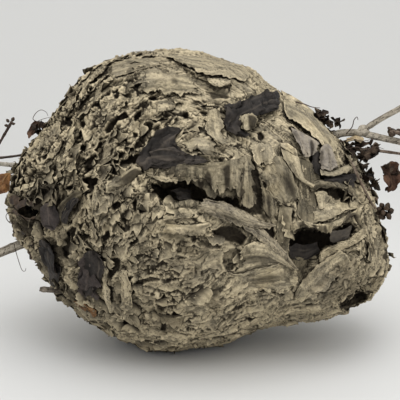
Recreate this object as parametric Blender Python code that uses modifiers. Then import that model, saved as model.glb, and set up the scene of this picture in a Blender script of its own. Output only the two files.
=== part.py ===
"""A dried hornet nest: one grey paper envelope grown around twigs and leaves.

Metres, +Z up. The origin is the middle of the flat patch that the nest rests on, and the
side with the big tear faces -Y. Places on the nest are read off one front view, so most
positions are written as (across, down) in that view's picture units, UNIT metres each at
the nest's middle, with a third value for how far towards the viewer the place lies.
"""

import math

import bmesh
import bpy
import numpy as np
from mathutils import Matrix, Vector, noise
from mathutils.bvhtree import BVHTree

# Driving sizes, in metres and degrees
NEST_WIDTH = 0.308
NEST_HALF_DEPTH = 0.116
MIDDLE_HEIGHT = 0.1165
VIEW_DISTANCE = 0.80
VIEW_ELEVATION = 12.0
GAP = 0.0003
LUMP_HEIGHT = 0.0022
LUMP_SPACING = 0.034
LEAF_THICKNESS = 0.0009
LEAF_LIFT = 0.0011

# The front view: its own size and the nest's left and right edges in it
VIEW_MIDDLE = 200.0
NEST_LEFT = 9.0
NEST_RIGHT = 394.0
UNIT = NEST_WIDTH / (NEST_RIGHT - NEST_LEFT)

TILT = math.radians(VIEW_ELEVATION)
MIDDLE = Vector((0.0, 0.0, MIDDLE_HEIGHT))
ACROSS = Vector((1.0, 0.0, 0.0))
UPWARD = Vector((0.0, math.sin(TILT), math.cos(TILT)))
TOWARD = Vector((0.0, -math.cos(TILT), math.sin(TILT)))

# Outline of the paper envelope in the front view, clockwise from the top
OUTLINE = (
    (150, 50), (179, 49), (219, 54), (245, 61), (276, 86), (301, 105), (332, 129), (350, 145),
    (362, 166), (375, 194), (383, 219), (390, 240), (394, 264), (387, 283), (379, 297),
    (357, 310), (325, 323), (292, 322), (255, 334), (217, 347), (168, 353), (128, 344),
    (102, 331), (77, 313), (58, 296), (45, 277), (33, 256), (17, 238), (9, 217), (9, 192),
    (13, 166), (27, 148), (47, 128), (58, 110), (70, 89), (86, 75), (104, 61), (128, 55),
)
OUTLINE_SMOOTHING = 2.0
ROUNDNESS = 2.25
BACK_EASE = 0.05
EDGE_FADE = 0.18
RIGHT_FLATTENING = 0.24

# Swellings and dips of the front: across, down, spread across, spread down, height in metres
SWELLINGS = (
    (344, 268, 34, 36, 0.016),
    (296, 262, 13, 30, -0.014),
    (294, 312, 15, 22, -0.009),
    (304, 195, 26, 26, -0.009),
    (258, 172, 30, 20, 0.005),
    (205, 240, 46, 24, 0.006),
    (196, 158, 30, 14, 0.004),
    (58, 215, 26, 44, -0.006),
    (100, 280, 22, 34, -0.004),
)

# Hollows: outline of each mouth, then how deep it is in metres, how much narrower its far
# end is, and how far its axis turns from the line of sight (0) to square on the paper (1)
TEAR_MOUTH = (
    (155, 185), (166, 187), (177, 181), (192, 179), (207, 183), (224, 187), (240, 196),
    (238, 209), (222, 210), (207, 201), (192, 205), (176, 202), (160, 200),
)
NOTCH_MOUTH = (
    (291, 234), (303, 228), (322, 231), (338, 224), (355, 219), (352, 234), (338, 241),
    (327, 246), (318, 258), (307, 266), (297, 287), (292, 288), (289, 262),
)
ENTRANCE_MOUTH = ((340, 310), (344, 302), (354, 296), (366, 292), (370, 297), (362, 305), (350, 311))
LEFT_HOLLOW_MOUTH = ((14, 206), (21, 200), (33, 203), (37, 212), (31, 221), (21, 220))
HOLLOWS = {
    "tear": (TEAR_MOUTH, 0.034, 0.80, 0.1),
    "notch": (NOTCH_MOUTH, 0.036, 0.72, 0.2),
    "entrance": (ENTRANCE_MOUTH, 0.034, 0.90, 0.8),
    "left_hollow": (LEFT_HOLLOW_MOUTH, 0.024, 0.75, 0.5),
}
MOUTH_CLEARANCE = 0.022

# Torn flaps of the paper, still joined to it along their first edge and free along their
# second, as (across, down, lift above the paper in metres)
ROOT = -0.0025
FLAPS = {
    "top_sheet": (
        ((176, 55, ROOT), (190, 59, ROOT), (208, 62, ROOT), (230, 67, ROOT)),
        ((181, 65, 0.003), (196, 75, 0.004), (212, 79, 0.004), (230, 78, 0.003)),
    ),
    "tear_brow": (
        ((152, 171, ROOT), (166, 172, ROOT), (180, 167, ROOT), (198, 167, ROOT), (216, 170, ROOT),
         (236, 178, ROOT)),
        ((155, 184, 0.003), (168, 187, 0.005), (179, 180, 0.006), (196, 181, 0.007),
         (213, 193, 0.007), (234, 194, 0.005)),
    ),
    "curtain": (
        ((238, 152, ROOT), (254, 149, ROOT), (272, 150, ROOT), (289, 156, ROOT)),
        ((240, 177, 0.004), (257, 199, 0.006), (269, 206, 0.006), (286, 199, 0.004)),
    ),
    "folded_flap": (
        ((199, 212, ROOT), (218, 224, ROOT), (240, 230, ROOT), (262, 234, ROOT)),
        ((200, 199, 0.006), (227, 204, 0.008), (250, 215, 0.007), (273, 225, 0.006)),
    ),
    "notch_strip": (
        ((238, 234, ROOT), (260, 250, ROOT), (284, 274, ROOT)),
        ((248, 224, 0.004), (270, 241, 0.005), (290, 263, 0.004)),
    ),
    "shoulder_flap": (
        ((295, 131, ROOT), (308, 129, ROOT), (322, 135, ROOT)),
        ((300, 152, 0.005), (311, 156, 0.007), (322, 149, 0.005)),
    ),
    "shoulder_low_flap": (
        ((318, 151, ROOT), (328, 148, ROOT), (338, 153, ROOT)),
        ((319, 167, 0.004), (328, 172, 0.006), (339, 168, 0.004)),
    ),
}
FLAP_THICKNESS = 0.0014

# Rolled lips of the paper: (across, down, lift, radius in metres)
LIPS = {
    "notch_lip": (
        (287, 231, 0.000, 0.0016), (298, 222, 0.002, 0.0026), (318, 226, 0.003, 0.0028),
        (337, 217, 0.002, 0.0026), (358, 207, 0.000, 0.0016),
    ),
    "scroll_lip": (
        (307, 194, -0.001, 0.0014), (313, 184, 0.001, 0.0022), (328, 181, 0.002, 0.0024),
        (341, 183, 0.001, 0.0022), (349, 192, -0.001, 0.0014),
    ),
}

# Twigs: (across, down, toward in metres, radius in metres) along each one, nest end first
BRANCH_STUB = ((322, 142, -0.004, 0.0034), (340, 132, 0.0, 0.0033), (361, 133, 0.004, 0.0032))
BRANCH_LOWER = (
    (360.8, 133, 0.004, 0.0030), (376, 136.5, 0.006, 0.0029), (392, 140, 0.007, 0.0028),
    (416, 145, 0.008, 0.0027),
)
BRANCH_UPPER = (
    (360, 134, 0.004, 0.0026), (368, 127, 0.006, 0.0025), (380, 119, 0.009, 0.0025),
    (400, 108.5, 0.013, 0.0024), (412, 102, 0.015, 0.0023),
)
BUD_TWIG = (
    (411, 144, 0.009, 0.0015), (406, 137, 0.012, 0.0016), (398, 132.5, 0.013, 0.0017),
    (389, 131.5, 0.012, 0.0020),
)
RIGHT_THIN_TWIG = ((340, 152, 0.0, 0.0014), (358, 149, 0.004, 0.0014), (374, 150, 0.006, 0.0013),
                   (410, 155, 0.008, 0.0012))
SEED_STALK = ((350, 160, 0.030, 0.0011), (356, 172, 0.0395, 0.0011), (364, 189, 0.0400, 0.0010),
              (371, 203, 0.0375, 0.0009), (376, 209, 0.0335, 0.0009))
LEFT_THICK_STUB = ((40, 238, -0.012, 0.0042), (18, 245, -0.012, 0.0041), (-12, 258, -0.012, 0.0039))
LEFT_SHORT_STUB = ((76, 290, 0.014, 0.0024), (57, 290.5, 0.028, 0.0024), (39, 289, 0.033, 0.0023))
LEFT_PALE_STUB = ((30, 167, -0.006, 0.0021), (9, 164.5, -0.004, 0.0020), (-12, 163, -0.002, 0.0019))
LEFT_THIN_TWIG = ((34, 153, -0.018, 0.0011), (14, 156.5, -0.014, 0.0011), (-12, 159, -0.013, 0.0010))
BUD_SHOOT = ((-9, 157, -0.013, 0.0009), (-4, 149, -0.012, 0.0010), (0, 142, -0.011, 0.0011),
             (7, 130, -0.010, 0.0012), (12, 121, -0.009, 0.0013))

# Leaves: two edges from stem to tip, as (across, down, lift in metres). A pressed leaf's
# lift is counted from the paper under it, and a loose leaf's from the plane of the outline.
PRESSED_LEAVES = {
    "leaf_tear_brow": (
        ((178, 126, 0.0), (162, 127, 0.0), (149, 139, 0.0), (137, 152, 0.0), (135, 161, 0.0)),
        ((177, 131, 0.0), (172, 142, 0.0), (184, 153, 0.002), (176, 163, 0.001), (143, 170, 0.0)),
    ),
    "leaf_brow_tip": (
        ((187, 153, 0.002), (197, 156, 0.001), (206, 160, 0.0)),
        ((180, 163, 0.001), (194, 164, 0.001), (205, 163, 0.0)),
    ),
    "leaf_upper": (
        ((280, 94, 0.0), (267, 90, 0.0), (249, 99, 0.0), (234, 105, 0.0), (221, 110, 0.0)),
        ((279, 108, 0.0), (268, 113, 0.0), (255, 116, 0.0), (240, 124, 0.0), (233, 140, 0.0)),
    ),
    "leaf_left_oval": (
        ((46, 203, 0.0), (40, 210, 0.0), (41, 222, 0.0), (50, 230, 0.0)),
        ((52, 203, 0.0), (57, 211, 0.0), (59, 222, 0.0), (55, 230, 0.0)),
    ),
    "leaf_left_strip": (
        ((75, 196, 0.0), (65, 203, 0.0), (61, 213, 0.0), (62, 224, 0.0)),
        ((80, 199, 0.0), (74, 207, 0.0), (69, 216, 0.0), (66, 225, 0.0)),
    ),
    "leaf_left_long": (
        ((39, 240, 0.0), (39, 250, 0.0), (45, 263, 0.0), (53, 276, 0.0)),
        ((45, 240, 0.0), (52, 249, 0.0), (57, 262, 0.0), (60, 275, 0.0)),
    ),
    "leaf_left_charcoal": (
        ((83, 257, 0.0), (78, 270, 0.0), (77, 284, 0.0), (80, 296, 0.0)),
        ((95, 257, 0.0), (99, 270, 0.0), (101, 284, 0.0), (97, 297, 0.0)),
    ),
}
LOOSE_LEAVES = {
    "leaf_left_orange": (
        ((11, 171, 0.006), (3, 173, 0.012), (-8, 178, 0.014)),
        ((12, 192, 0.014), (4, 195, 0.018), (-8, 194, 0.016)),
    ),
    "leaf_left_small": (
        ((42, 121, -0.010), (33, 120, -0.006), (25, 133, -0.008)),
        ((48, 124, -0.006), (39, 127, 0.0), (29, 140, -0.006)),
    ),
    "leaf_right_dark": (
        ((336, 126, 0.004), (327, 116, 0.008), (318, 107, 0.006), (312, 112, 0.002)),
        ((333, 128, 0.010), (322, 122, 0.014), (316, 116, 0.012), (313, 116, 0.008)),
    ),
    "leaf_right_tan": (
        ((347, 137, 0.008), (355, 136, 0.010), (365, 138, 0.010)),
        ((347, 141, 0.012), (356, 142, 0.014), (364, 141, 0.013)),
    ),
    "leaf_right_mass": (
        ((358, 153, 0.010), (366, 153, 0.012), (375, 145, 0.012), (379, 143, 0.010)),
        ((359, 162, 0.014), (368, 161, 0.016), (375, 153, 0.016), (380, 148, 0.013)),
    ),
    "leaf_right_strip": (
        ((366, 173, 0.010), (369, 182, 0.012), (377, 191, 0.011)),
        ((372, 172, 0.011), (377, 180, 0.014), (380, 189, 0.012)),
    ),
    "leaf_right_serrated": (
        ((383, 163, 0.006), (382, 173, 0.010), (385, 184, 0.010), (391, 193, 0.006)),
        ((397, 160, 0.004), (402, 171, 0.002), (402, 181, 0.004), (394, 192, 0.005)),
    ),
}

MATERIALS = {
    "paper": ((0.36, 0.32, 0.25), 0.95),
    "bark": ((0.30, 0.27, 0.22), 0.9),
    "leaf_dark": ((0.06, 0.05, 0.045), 0.8),
    "leaf_brown": ((0.20, 0.10, 0.05), 0.75),
    "leaf_tan": ((0.42, 0.35, 0.24), 0.85),
}


def clear_scene():
    for obj in list(bpy.data.objects):
        bpy.data.objects.remove(obj)


def make_collection(name):
    collection = bpy.data.collections.new(name)
    bpy.context.scene.collection.children.link(collection)
    return collection


def make_material(name):
    colour, roughness = MATERIALS[name]
    material = bpy.data.materials.get(name) or bpy.data.materials.new(name)
    material.use_nodes = True
    shader = material.node_tree.nodes["Principled BSDF"]
    shader.inputs["Base Color"].default_value = (*colour, 1.0)
    shader.inputs["Roughness"].default_value = roughness
    shader.inputs["Metallic"].default_value = 0.0
    return material


def add_object(name, data, collection, material):
    obj = bpy.data.objects.new(name, data)
    collection.objects.link(obj)
    data.materials.append(make_material(material))
    return obj


def make_cutter(obj):
    obj.hide_render = True
    obj.display_type = "WIRE"
    return obj


def combine(obj, other, operation):
    boolean = obj.modifiers.new(other.name, "BOOLEAN")
    boolean.operation = operation
    boolean.solver = "EXACT"
    boolean.object = other


def cut(obj, cutter):
    combine(obj, cutter, "DIFFERENCE")


def join(obj, piece):
    combine(obj, piece, "UNION")


def place(across, down, toward):
    """The point in metres that the front view shows at (across, down), that far towards the viewer."""
    nearness = 1.0 - toward / VIEW_DISTANCE
    right = (across - VIEW_MIDDLE) * UNIT * nearness
    up = (VIEW_MIDDLE - down) * UNIT * nearness
    return MIDDLE + right * ACROSS + up * UPWARD + toward * TOWARD


def outline_reach(angle):
    """How far the outline is from the view's middle in this direction, in picture units."""
    bearings = [math.atan2(VIEW_MIDDLE - down, across - VIEW_MIDDLE) for across, down in OUTLINE]
    reaches = [math.hypot(across - VIEW_MIDDLE, VIEW_MIDDLE - down) for across, down in OUTLINE]
    nearby = [angle + math.radians(OUTLINE_SMOOTHING * step) for step in (-2, -1, 0, 1, 2)]
    return float(np.mean(np.interp(nearby, bearings, reaches, period=2 * math.pi)))


def swelling(across, down):
    """Height of the front's swellings and dips at this place of the front view, in metres."""
    total = 0.0
    for middle_across, middle_down, spread_across, spread_down, height in SWELLINGS:
        reach = ((across - middle_across) / spread_across) ** 2 + ((down - middle_down) / spread_down) ** 2
        total += height * math.exp(-reach)
    return total


def half_depth(angle, share):
    """Depth of the envelope on one side of the outline's plane, for a share of the way to the outline."""
    rounded = (1.0 - min(share, 1.0) ** ROUNDNESS) ** (1.0 / ROUNDNESS)
    rightness = max(0.0, math.cos(angle)) * share
    return NEST_HALF_DEPTH * (1.0 - RIGHT_FLATTENING * rightness) * rounded


def lumps(point):
    return LUMP_HEIGHT * noise.noise(point / LUMP_SPACING)


def front_toward(across, down):
    """How far towards the viewer the paper lies at this place of the front view."""
    angle = math.atan2(VIEW_MIDDLE - down, across - VIEW_MIDDLE)
    share = math.hypot(across - VIEW_MIDDLE, VIEW_MIDDLE - down) / outline_reach(angle)
    fade = min(1.0, max(0.0, 1.0 - share) / EDGE_FADE)
    return half_depth(angle, share) + swelling(across, down) * fade


def on_paper(across, down, lift):
    """The point that lies this far above the paper at this place of the front view."""
    return place(across, down, front_toward(across, down) + lift)


def envelope_point(direction):
    """Where the envelope's surface goes for one point of a round ball seen from the front."""
    angle = math.atan2(direction.z, direction.x)
    share = min(1.0, math.hypot(direction.x, direction.z))
    reach = outline_reach(angle) * share
    across = VIEW_MIDDLE + reach * math.cos(angle)
    down = VIEW_MIDDLE - reach * math.sin(angle)
    if direction.y < 0:
        point = place(across, down, front_toward(across, down))
    else:
        behind = half_depth(angle, share)
        point = place(across, down, 0.0) - behind * TOWARD
        widening = behind / VIEW_DISTANCE * math.exp(-behind / BACK_EASE)
        point += (point - MIDDLE).dot(ACROSS) * widening * ACROSS
    return point + (point - MIDDLE).normalized() * lumps(point)


def build_envelope(parts, cutters):
    ball = bmesh.new()
    bmesh.ops.create_icosphere(ball, subdivisions=5, radius=1.0)
    for vert in ball.verts:
        vert.co = envelope_point(vert.co)
    mesh = bpy.data.meshes.new("nest_envelope")
    ball.to_mesh(mesh)
    ball.free()
    envelope = add_object("nest_envelope", mesh, parts, "paper")
    cut(envelope, build_floor_cutter(cutters))
    for name, (mouth, depth, narrowing, turn) in HOLLOWS.items():
        cut(envelope, build_hollow_cutter(name, mouth, depth, narrowing, turn, cutters))
    for name, edges in FLAPS.items():
        flap = build_sheet(name, edges, FLAP_THICKNESS, on_paper, cutters, "paper")
        join(envelope, make_cutter(flap))
    for name, route in LIPS.items():
        raised = [(across, down, front_toward(across, down) + lift, radius)
                  for across, down, lift, radius in route]
        join(envelope, make_cutter(build_tube(name, raised, cutters)))
    return envelope


def build_floor_cutter(cutters):
    """A block below the resting surface, which leaves the nest a flat patch to lie on."""
    size = 2 * NEST_WIDTH
    block = bmesh.new()
    bmesh.ops.create_cube(block, size=size, matrix=Matrix.Translation((0, 0, -size / 2)))
    mesh = bpy.data.meshes.new("floor_cutter")
    block.to_mesh(mesh)
    block.free()
    return make_cutter(add_object("floor_cutter", mesh, cutters, "paper"))


def outward_at(across, down):
    """The direction square to the paper at this place of the front view."""
    step = 3.0
    sideways = on_paper(across + step, down, 0.0) - on_paper(across - step, down, 0.0)
    upwards = on_paper(across, down - step, 0.0) - on_paper(across, down + step, 0.0)
    return sideways.cross(upwards).normalized()


def build_hollow_cutter(name, mouth, depth, narrowing, turn, cutters):
    """A tapering plug that runs from outside the paper to the hollow's far end."""
    middle_across = sum(across for across, down in mouth) / len(mouth)
    middle_down = sum(down for across, down in mouth) / len(mouth)
    middle = on_paper(middle_across, middle_down, 0.0)
    axis = TOWARD.lerp(outward_at(middle_across, middle_down), turn).normalized()
    plug = bmesh.new()
    bmesh.ops.create_circle(plug, cap_ends=True, radius=1.0, segments=len(mouth))
    plug.verts.index_update()
    rim = sorted(plug.verts, key=lambda vert: vert.index)
    for vert, (across, down) in zip(rim, mouth):
        vert.co = on_paper(across, down, 0.0)
        vert.co += (MOUTH_CLEARANCE - (vert.co - middle).dot(axis)) * axis
    grown = bmesh.ops.extrude_face_region(plug, geom=plug.faces[:])
    far_rim = [item for item in grown["geom"] if isinstance(item, bmesh.types.BMVert)]
    near_end = middle + MOUTH_CLEARANCE * axis
    far_end = middle - depth * axis
    for vert in far_rim:
        vert.co = far_end + (vert.co - near_end) * narrowing
    bmesh.ops.recalc_face_normals(plug, faces=plug.faces)
    mesh = bpy.data.meshes.new(name + "_cutter")
    plug.to_mesh(mesh)
    plug.free()
    return make_cutter(add_object(name + "_cutter", mesh, cutters, "paper"))


def build_tube(name, route, collection, extra=0.0):
    """A bark-covered twig as one closed mesh, swept along its route."""
    curve = bpy.data.curves.new(name, "CURVE")
    curve.dimensions = "3D"
    curve.bevel_depth = 1.0
    curve.bevel_resolution = 2
    curve.render_resolution_u = 0
    curve.use_fill_caps = True
    spline = curve.splines.new("POLY")
    spline.points.add(len(route) - 1)
    for point, (across, down, toward, radius) in zip(spline.points, route):
        point.co = (*place(across, down, toward), 1.0)
        point.radius = radius + extra
    guide = bpy.data.objects.new(name + "_route", curve)
    collection.objects.link(guide)
    evaluated = guide.evaluated_get(bpy.context.evaluated_depsgraph_get())
    mesh = bpy.data.meshes.new_from_object(evaluated)
    matrix = guide.matrix_world.copy()
    bpy.data.objects.remove(guide)
    welded = bmesh.new()
    welded.from_mesh(mesh)
    bmesh.ops.remove_doubles(welded, verts=welded.verts, dist=0.00001)
    bmesh.ops.recalc_face_normals(welded, faces=welded.faces)
    welded.to_mesh(mesh)
    welded.free()
    mesh.name = name
    twig = add_object(name, mesh, collection, "bark")
    twig.matrix_world = matrix
    return twig


def build_socketed_twig(name, route, host, parts, cutters):
    """A twig whose inner end sits in a hole of its own in its host, with a thin gap all round."""
    socket = make_cutter(build_tube(name + "_socket", route, cutters, extra=GAP))
    cut(host, socket)
    return build_tube(name, route, parts)


def build_twigs(envelope, parts, cutters):
    build_socketed_twig("right_branch_stub", BRANCH_STUB, envelope, parts, cutters)
    stub_socket = bpy.data.objects["right_branch_stub_socket"]
    lower = build_tube("right_branch_lower", BRANCH_LOWER, parts)
    cut(lower, stub_socket)
    upper = build_tube("right_branch_upper", BRANCH_UPPER, parts)
    cut(upper, stub_socket)
    cut(upper, make_cutter(build_tube("right_branch_lower_clearance", BRANCH_LOWER, cutters, extra=GAP)))
    bud_twig = build_tube("right_bud_twig", BUD_TWIG, parts)
    cut(bud_twig, bpy.data.objects["right_branch_lower_clearance"])
    build_socketed_twig("right_thin_twig", RIGHT_THIN_TWIG, envelope, parts, cutters)
    build_socketed_twig("seed_stalk", SEED_STALK, envelope, parts, cutters)
    build_socketed_twig("left_thick_stub", LEFT_THICK_STUB, envelope, parts, cutters)
    build_socketed_twig("left_short_stub", LEFT_SHORT_STUB, envelope, parts, cutters)
    build_socketed_twig("left_pale_stub", LEFT_PALE_STUB, envelope, parts, cutters)
    build_socketed_twig("left_thin_twig", LEFT_THIN_TWIG, envelope, parts, cutters)
    shoot = build_tube("left_bud_shoot", BUD_SHOOT, parts)
    cut(shoot, bpy.data.objects["left_thin_twig_socket"])


def clear_of_paper(point, paper):
    """The same point, or the nearest one just above the paper if it would touch or pass into it."""
    nearest, outward, _, _ = paper.find_nearest(point)
    if (point - nearest).dot(outward) > LEAF_LIFT:
        return point
    return nearest + outward * LEAF_LIFT


def build_sheet(name, edges, thickness, place_point, collection, material):
    """A thin sheet ruled between its two edges, with its good side to the viewer."""
    first, second = edges
    rows = len(first) - 1
    sheet = bmesh.new()
    bmesh.ops.create_grid(sheet, x_segments=2, y_segments=rows, size=1.0)
    for vert in sheet.verts:
        row = round((vert.co.y + 1.0) / 2.0 * rows)
        side = (vert.co.x + 1.0) / 2.0
        vert.co = place_point(*Vector(first[row]).lerp(Vector(second[row]), side))
    sheet.normal_update()
    facing = sum((face.normal * face.calc_area() for face in sheet.faces), Vector())
    if facing.dot(TOWARD) < 0:
        bmesh.ops.reverse_faces(sheet, faces=sheet.faces)
    mesh = bpy.data.meshes.new(name)
    sheet.to_mesh(mesh)
    sheet.free()
    obj = add_object(name, mesh, collection, material)
    solidify = obj.modifiers.new("thickness", "SOLIDIFY")
    solidify.thickness = thickness
    solidify.offset = 1.0
    return obj


def build_leaves(envelope, parts):
    paper = BVHTree.FromObject(envelope, bpy.context.evaluated_depsgraph_get())

    def pressed(across, down, lift):
        return clear_of_paper(on_paper(across, down, lift + LEAF_LIFT), paper)

    def loose(across, down, lift):
        return clear_of_paper(place(across, down, lift), paper)

    for name, edges in PRESSED_LEAVES.items():
        build_sheet(name, edges, LEAF_THICKNESS, pressed, parts, "leaf_dark")
    for name, edges in LOOSE_LEAVES.items():
        material = "leaf_tan" if name.endswith("tan") else "leaf_brown"
        build_sheet(name, edges, LEAF_THICKNESS, loose, parts, material)


def build_seed_cluster(parts):
    """The dark seed head at the end of its stalk."""
    seed = bmesh.new()
    bmesh.ops.create_icosphere(seed, subdivisions=2, radius=1.0)
    size = Matrix.Diagonal((0.0052, 0.0042, 0.0058, 1.0))
    bmesh.ops.transform(seed, matrix=Matrix.Translation(place(385, 211.5, 0.030)) @ size, verts=seed.verts)
    mesh = bpy.data.meshes.new("seed_cluster")
    seed.to_mesh(mesh)
    seed.free()
    add_object("seed_cluster", mesh, parts, "leaf_dark")


def main():
    clear_scene()
    parts = make_collection("hornet_nest")
    cutters = make_collection("cutters")
    envelope = build_envelope(parts, cutters)
    build_twigs(envelope, parts, cutters)
    build_seed_cluster(parts)
    build_leaves(envelope, parts)


main()
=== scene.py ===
"""The looks of a dried hornet nest: ragged grey paper, dead leaves and twigs, on a pale table.

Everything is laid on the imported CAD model. Places on the nest's front are written as
(across, down) in the front view's picture units, with a lift above the paper in millimetres.
"""

import math
from functools import lru_cache
from itertools import product

import bmesh
import bpy
import numpy as np
from mathutils import Matrix, Vector
from mathutils.bvhtree import BVHTree


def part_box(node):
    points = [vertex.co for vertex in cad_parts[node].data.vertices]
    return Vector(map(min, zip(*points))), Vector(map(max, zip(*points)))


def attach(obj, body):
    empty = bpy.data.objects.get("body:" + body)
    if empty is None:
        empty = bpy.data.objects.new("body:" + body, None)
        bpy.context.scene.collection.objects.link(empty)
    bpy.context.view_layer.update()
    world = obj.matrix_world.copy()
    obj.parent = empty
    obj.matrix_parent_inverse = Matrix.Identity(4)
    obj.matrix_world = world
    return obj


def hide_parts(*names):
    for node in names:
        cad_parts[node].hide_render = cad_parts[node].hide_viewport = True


bl_info = {
    "name": "Hornet Nest",
    "version": (1, 0, 0),
    "blender": (4, 5, 0),
    "location": "View3D > Sidebar > Hornet Nest",
    "description": "Builds the paper, leaves, twigs and studio of a dried hornet nest",
    "category": "Object",
}

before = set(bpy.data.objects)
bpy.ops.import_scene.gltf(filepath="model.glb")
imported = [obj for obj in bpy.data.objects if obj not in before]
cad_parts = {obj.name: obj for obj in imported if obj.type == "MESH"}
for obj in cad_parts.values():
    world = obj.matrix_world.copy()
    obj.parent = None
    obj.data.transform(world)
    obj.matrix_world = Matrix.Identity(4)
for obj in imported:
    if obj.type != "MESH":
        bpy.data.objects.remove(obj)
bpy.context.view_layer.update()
BODY = "root"

# The front view: where it is seen from, and how its picture units turn into metres
VIEW_DISTANCE = 0.80
VIEW_TILT = math.radians(12.0)
VIEW_MIDDLE = 200.0
VIEW_WIDTH = 400
UNIT = 0.308 / 385.0
MM = 0.001
MIDDLE = np.array((0.0, 0.0, 0.1165))
ACROSS = np.array((1.0, 0.0, 0.0))
UPWARD = np.array((0.0, math.sin(VIEW_TILT), math.cos(VIEW_TILT)))
TOWARD = np.array((0.0, -math.cos(VIEW_TILT), math.sin(VIEW_TILT)))
EYE = MIDDLE + VIEW_DISTANCE * TOWARD


# ---------------------------------------------------------------- settings


class NestPaperSettings(bpy.types.PropertyGroup):
    """Sizes and colours of the paper envelope."""

    front_cell: bpy.props.FloatProperty(
        name="Front Cell", description="Size of the shell's faces at the front",
        default=0.00092, min=0.0005, max=0.01, unit="LENGTH")
    back_cell: bpy.props.FloatProperty(
        name="Back Cell", description="Size of the shell's faces at the back",
        default=0.0013, min=0.0005, max=0.01, unit="LENGTH")
    pit_spacing: bpy.props.FloatProperty(
        name="Pit Spacing", description="Distance between the eaten pits of the rough paper",
        default=0.0066, min=0.002, max=0.03, unit="LENGTH")
    pit_depth: bpy.props.FloatProperty(
        name="Pit Depth", description="Depth of the deepest pits",
        default=0.0070, min=0.0, max=0.02, unit="LENGTH")
    layer: bpy.props.FloatProperty(
        name="Layer Step", description="Height from one layer of paper to the next",
        default=0.0009, min=0.0, max=0.005, unit="LENGTH")
    wall: bpy.props.FloatProperty(
        name="Paper Thickness", description="Thickness of one layer of paper",
        default=0.00035, min=0.0001, max=0.002, unit="LENGTH")
    # Light Paper is the cream of the bands and torn edges, and also the painted highlight on raised places
    light: bpy.props.FloatVectorProperty(
        name="Light Paper", description="Cream bands and edges", subtype="COLOR",
        default=(0.645, 0.543, 0.365), min=0.0, max=1.0)
    middle: bpy.props.FloatVectorProperty(
        name="Middle Paper", description="Most of the paper", subtype="COLOR",
        default=(0.405, 0.343, 0.226), min=0.0, max=1.0)
    grey: bpy.props.FloatVectorProperty(
        name="Grey Paper", description="Weathered grey paper", subtype="COLOR",
        default=(0.24, 0.210, 0.155), min=0.0, max=1.0)
    ochre: bpy.props.FloatVectorProperty(
        name="Ochre Paper", description="Yellowish stains", subtype="COLOR",
        default=(0.42, 0.33, 0.18), min=0.0, max=1.0)
    # Deep Paper is the painted shade in pits, hollows, cracks and crevices; the places painted darker use it
    # too
    deep: bpy.props.FloatVectorProperty(
        name="Deep Paper", description="The bottoms of pits and hollows", subtype="COLOR",
        default=(0.022, 0.017, 0.012), min=0.0, max=1.0)


class NestStageSettings(bpy.types.PropertyGroup):
    """The table, the backdrop and the lamps."""

    table: bpy.props.FloatVectorProperty(
        name="Table", description="Colour of the table and backdrop", subtype="COLOR",
        default=(0.69, 0.69, 0.68), min=0.0, max=1.0)
    fill_strength: bpy.props.FloatProperty(
        name="Fill Strength", description="Strength of the light from all round",
        default=0.90, min=0.0)
    top_power: bpy.props.FloatProperty(
        name="Top Lamp Power", description="Power of the soft lamp above", default=8.3, min=0.0)


# ---------------------------------------------------------------- places


def place(across, down, toward):
    """The points in metres that the front view shows at (across, down), that far towards the viewer."""
    nearness = 1.0 - np.asarray(toward) / VIEW_DISTANCE
    right = (np.asarray(across) - VIEW_MIDDLE) * UNIT * nearness
    up = (VIEW_MIDDLE - np.asarray(down)) * UNIT * nearness
    return (MIDDLE + right[..., None] * ACROSS + up[..., None] * UPWARD
            + np.asarray(toward)[..., None] * TOWARD)


def seen_at(points):
    """Where the front view shows the points: across and down."""
    offset = points - MIDDLE
    nearness = (1.0 - offset @ TOWARD / VIEW_DISTANCE) * UNIT
    return VIEW_MIDDLE + offset @ ACROSS / nearness, VIEW_MIDDLE - offset @ UPWARD / nearness


# ---------------------------------------------------------------- noise on many points at once


# How many places along the bands are averaged into one streak
SMEAR_SAMPLES = 7


def hashed(cell, seed):
    """A number from 0 to 1 for each whole-number place, the same on every run."""
    mixed = cell[..., 0] * 73856093 ^ cell[..., 1] * 19349663 ^ cell[..., 2] * 83492791 ^ seed * 7919
    mixed = (mixed ^ (mixed >> 13)) * 1274126177 & 0x7FFFFFFF
    mixed = (mixed ^ (mixed >> 11)) * 668265263 & 0x7FFFFFFF
    return ((mixed >> 5) & 0xFFFFFF) / 0xFFFFFF


def lumps(points, size, seed, octaves=3):
    """Smooth noise from about -1 to 1 whose largest lumps are this size in metres."""
    total = np.zeros(points.shape[:-1])
    loudest = 0.0
    strength = 1.0
    for octave in range(octaves):
        scaled = points / size + 17.3 * (octave + 1)
        base = np.floor(scaled).astype(np.int64)
        part = scaled - base
        part = part * part * (3.0 - 2.0 * part)
        value = np.zeros(points.shape[:-1])
        for corner in product((0, 1), repeat=3):
            share = np.prod(np.where(np.array(corner), part, 1.0 - part), axis=-1)
            value += share * hashed(base + np.array(corner), seed + octave)
        total += strength * (2.0 * value - 1.0)
        loudest += strength
        strength *= 0.5
        size *= 0.47
    return total / loudest * 1.5


def drawn_out(points, bands, size, reach, seed, octaves):
    """Noise smeared along the bands' direction, so that its lumps become streaks."""
    total = np.zeros(len(points))
    for step in np.linspace(-0.5, 0.5, SMEAR_SAMPLES):
        total += lumps(points + step * reach * bands, size, seed, octaves)
    return total / SMEAR_SAMPLES * 1.6


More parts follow.
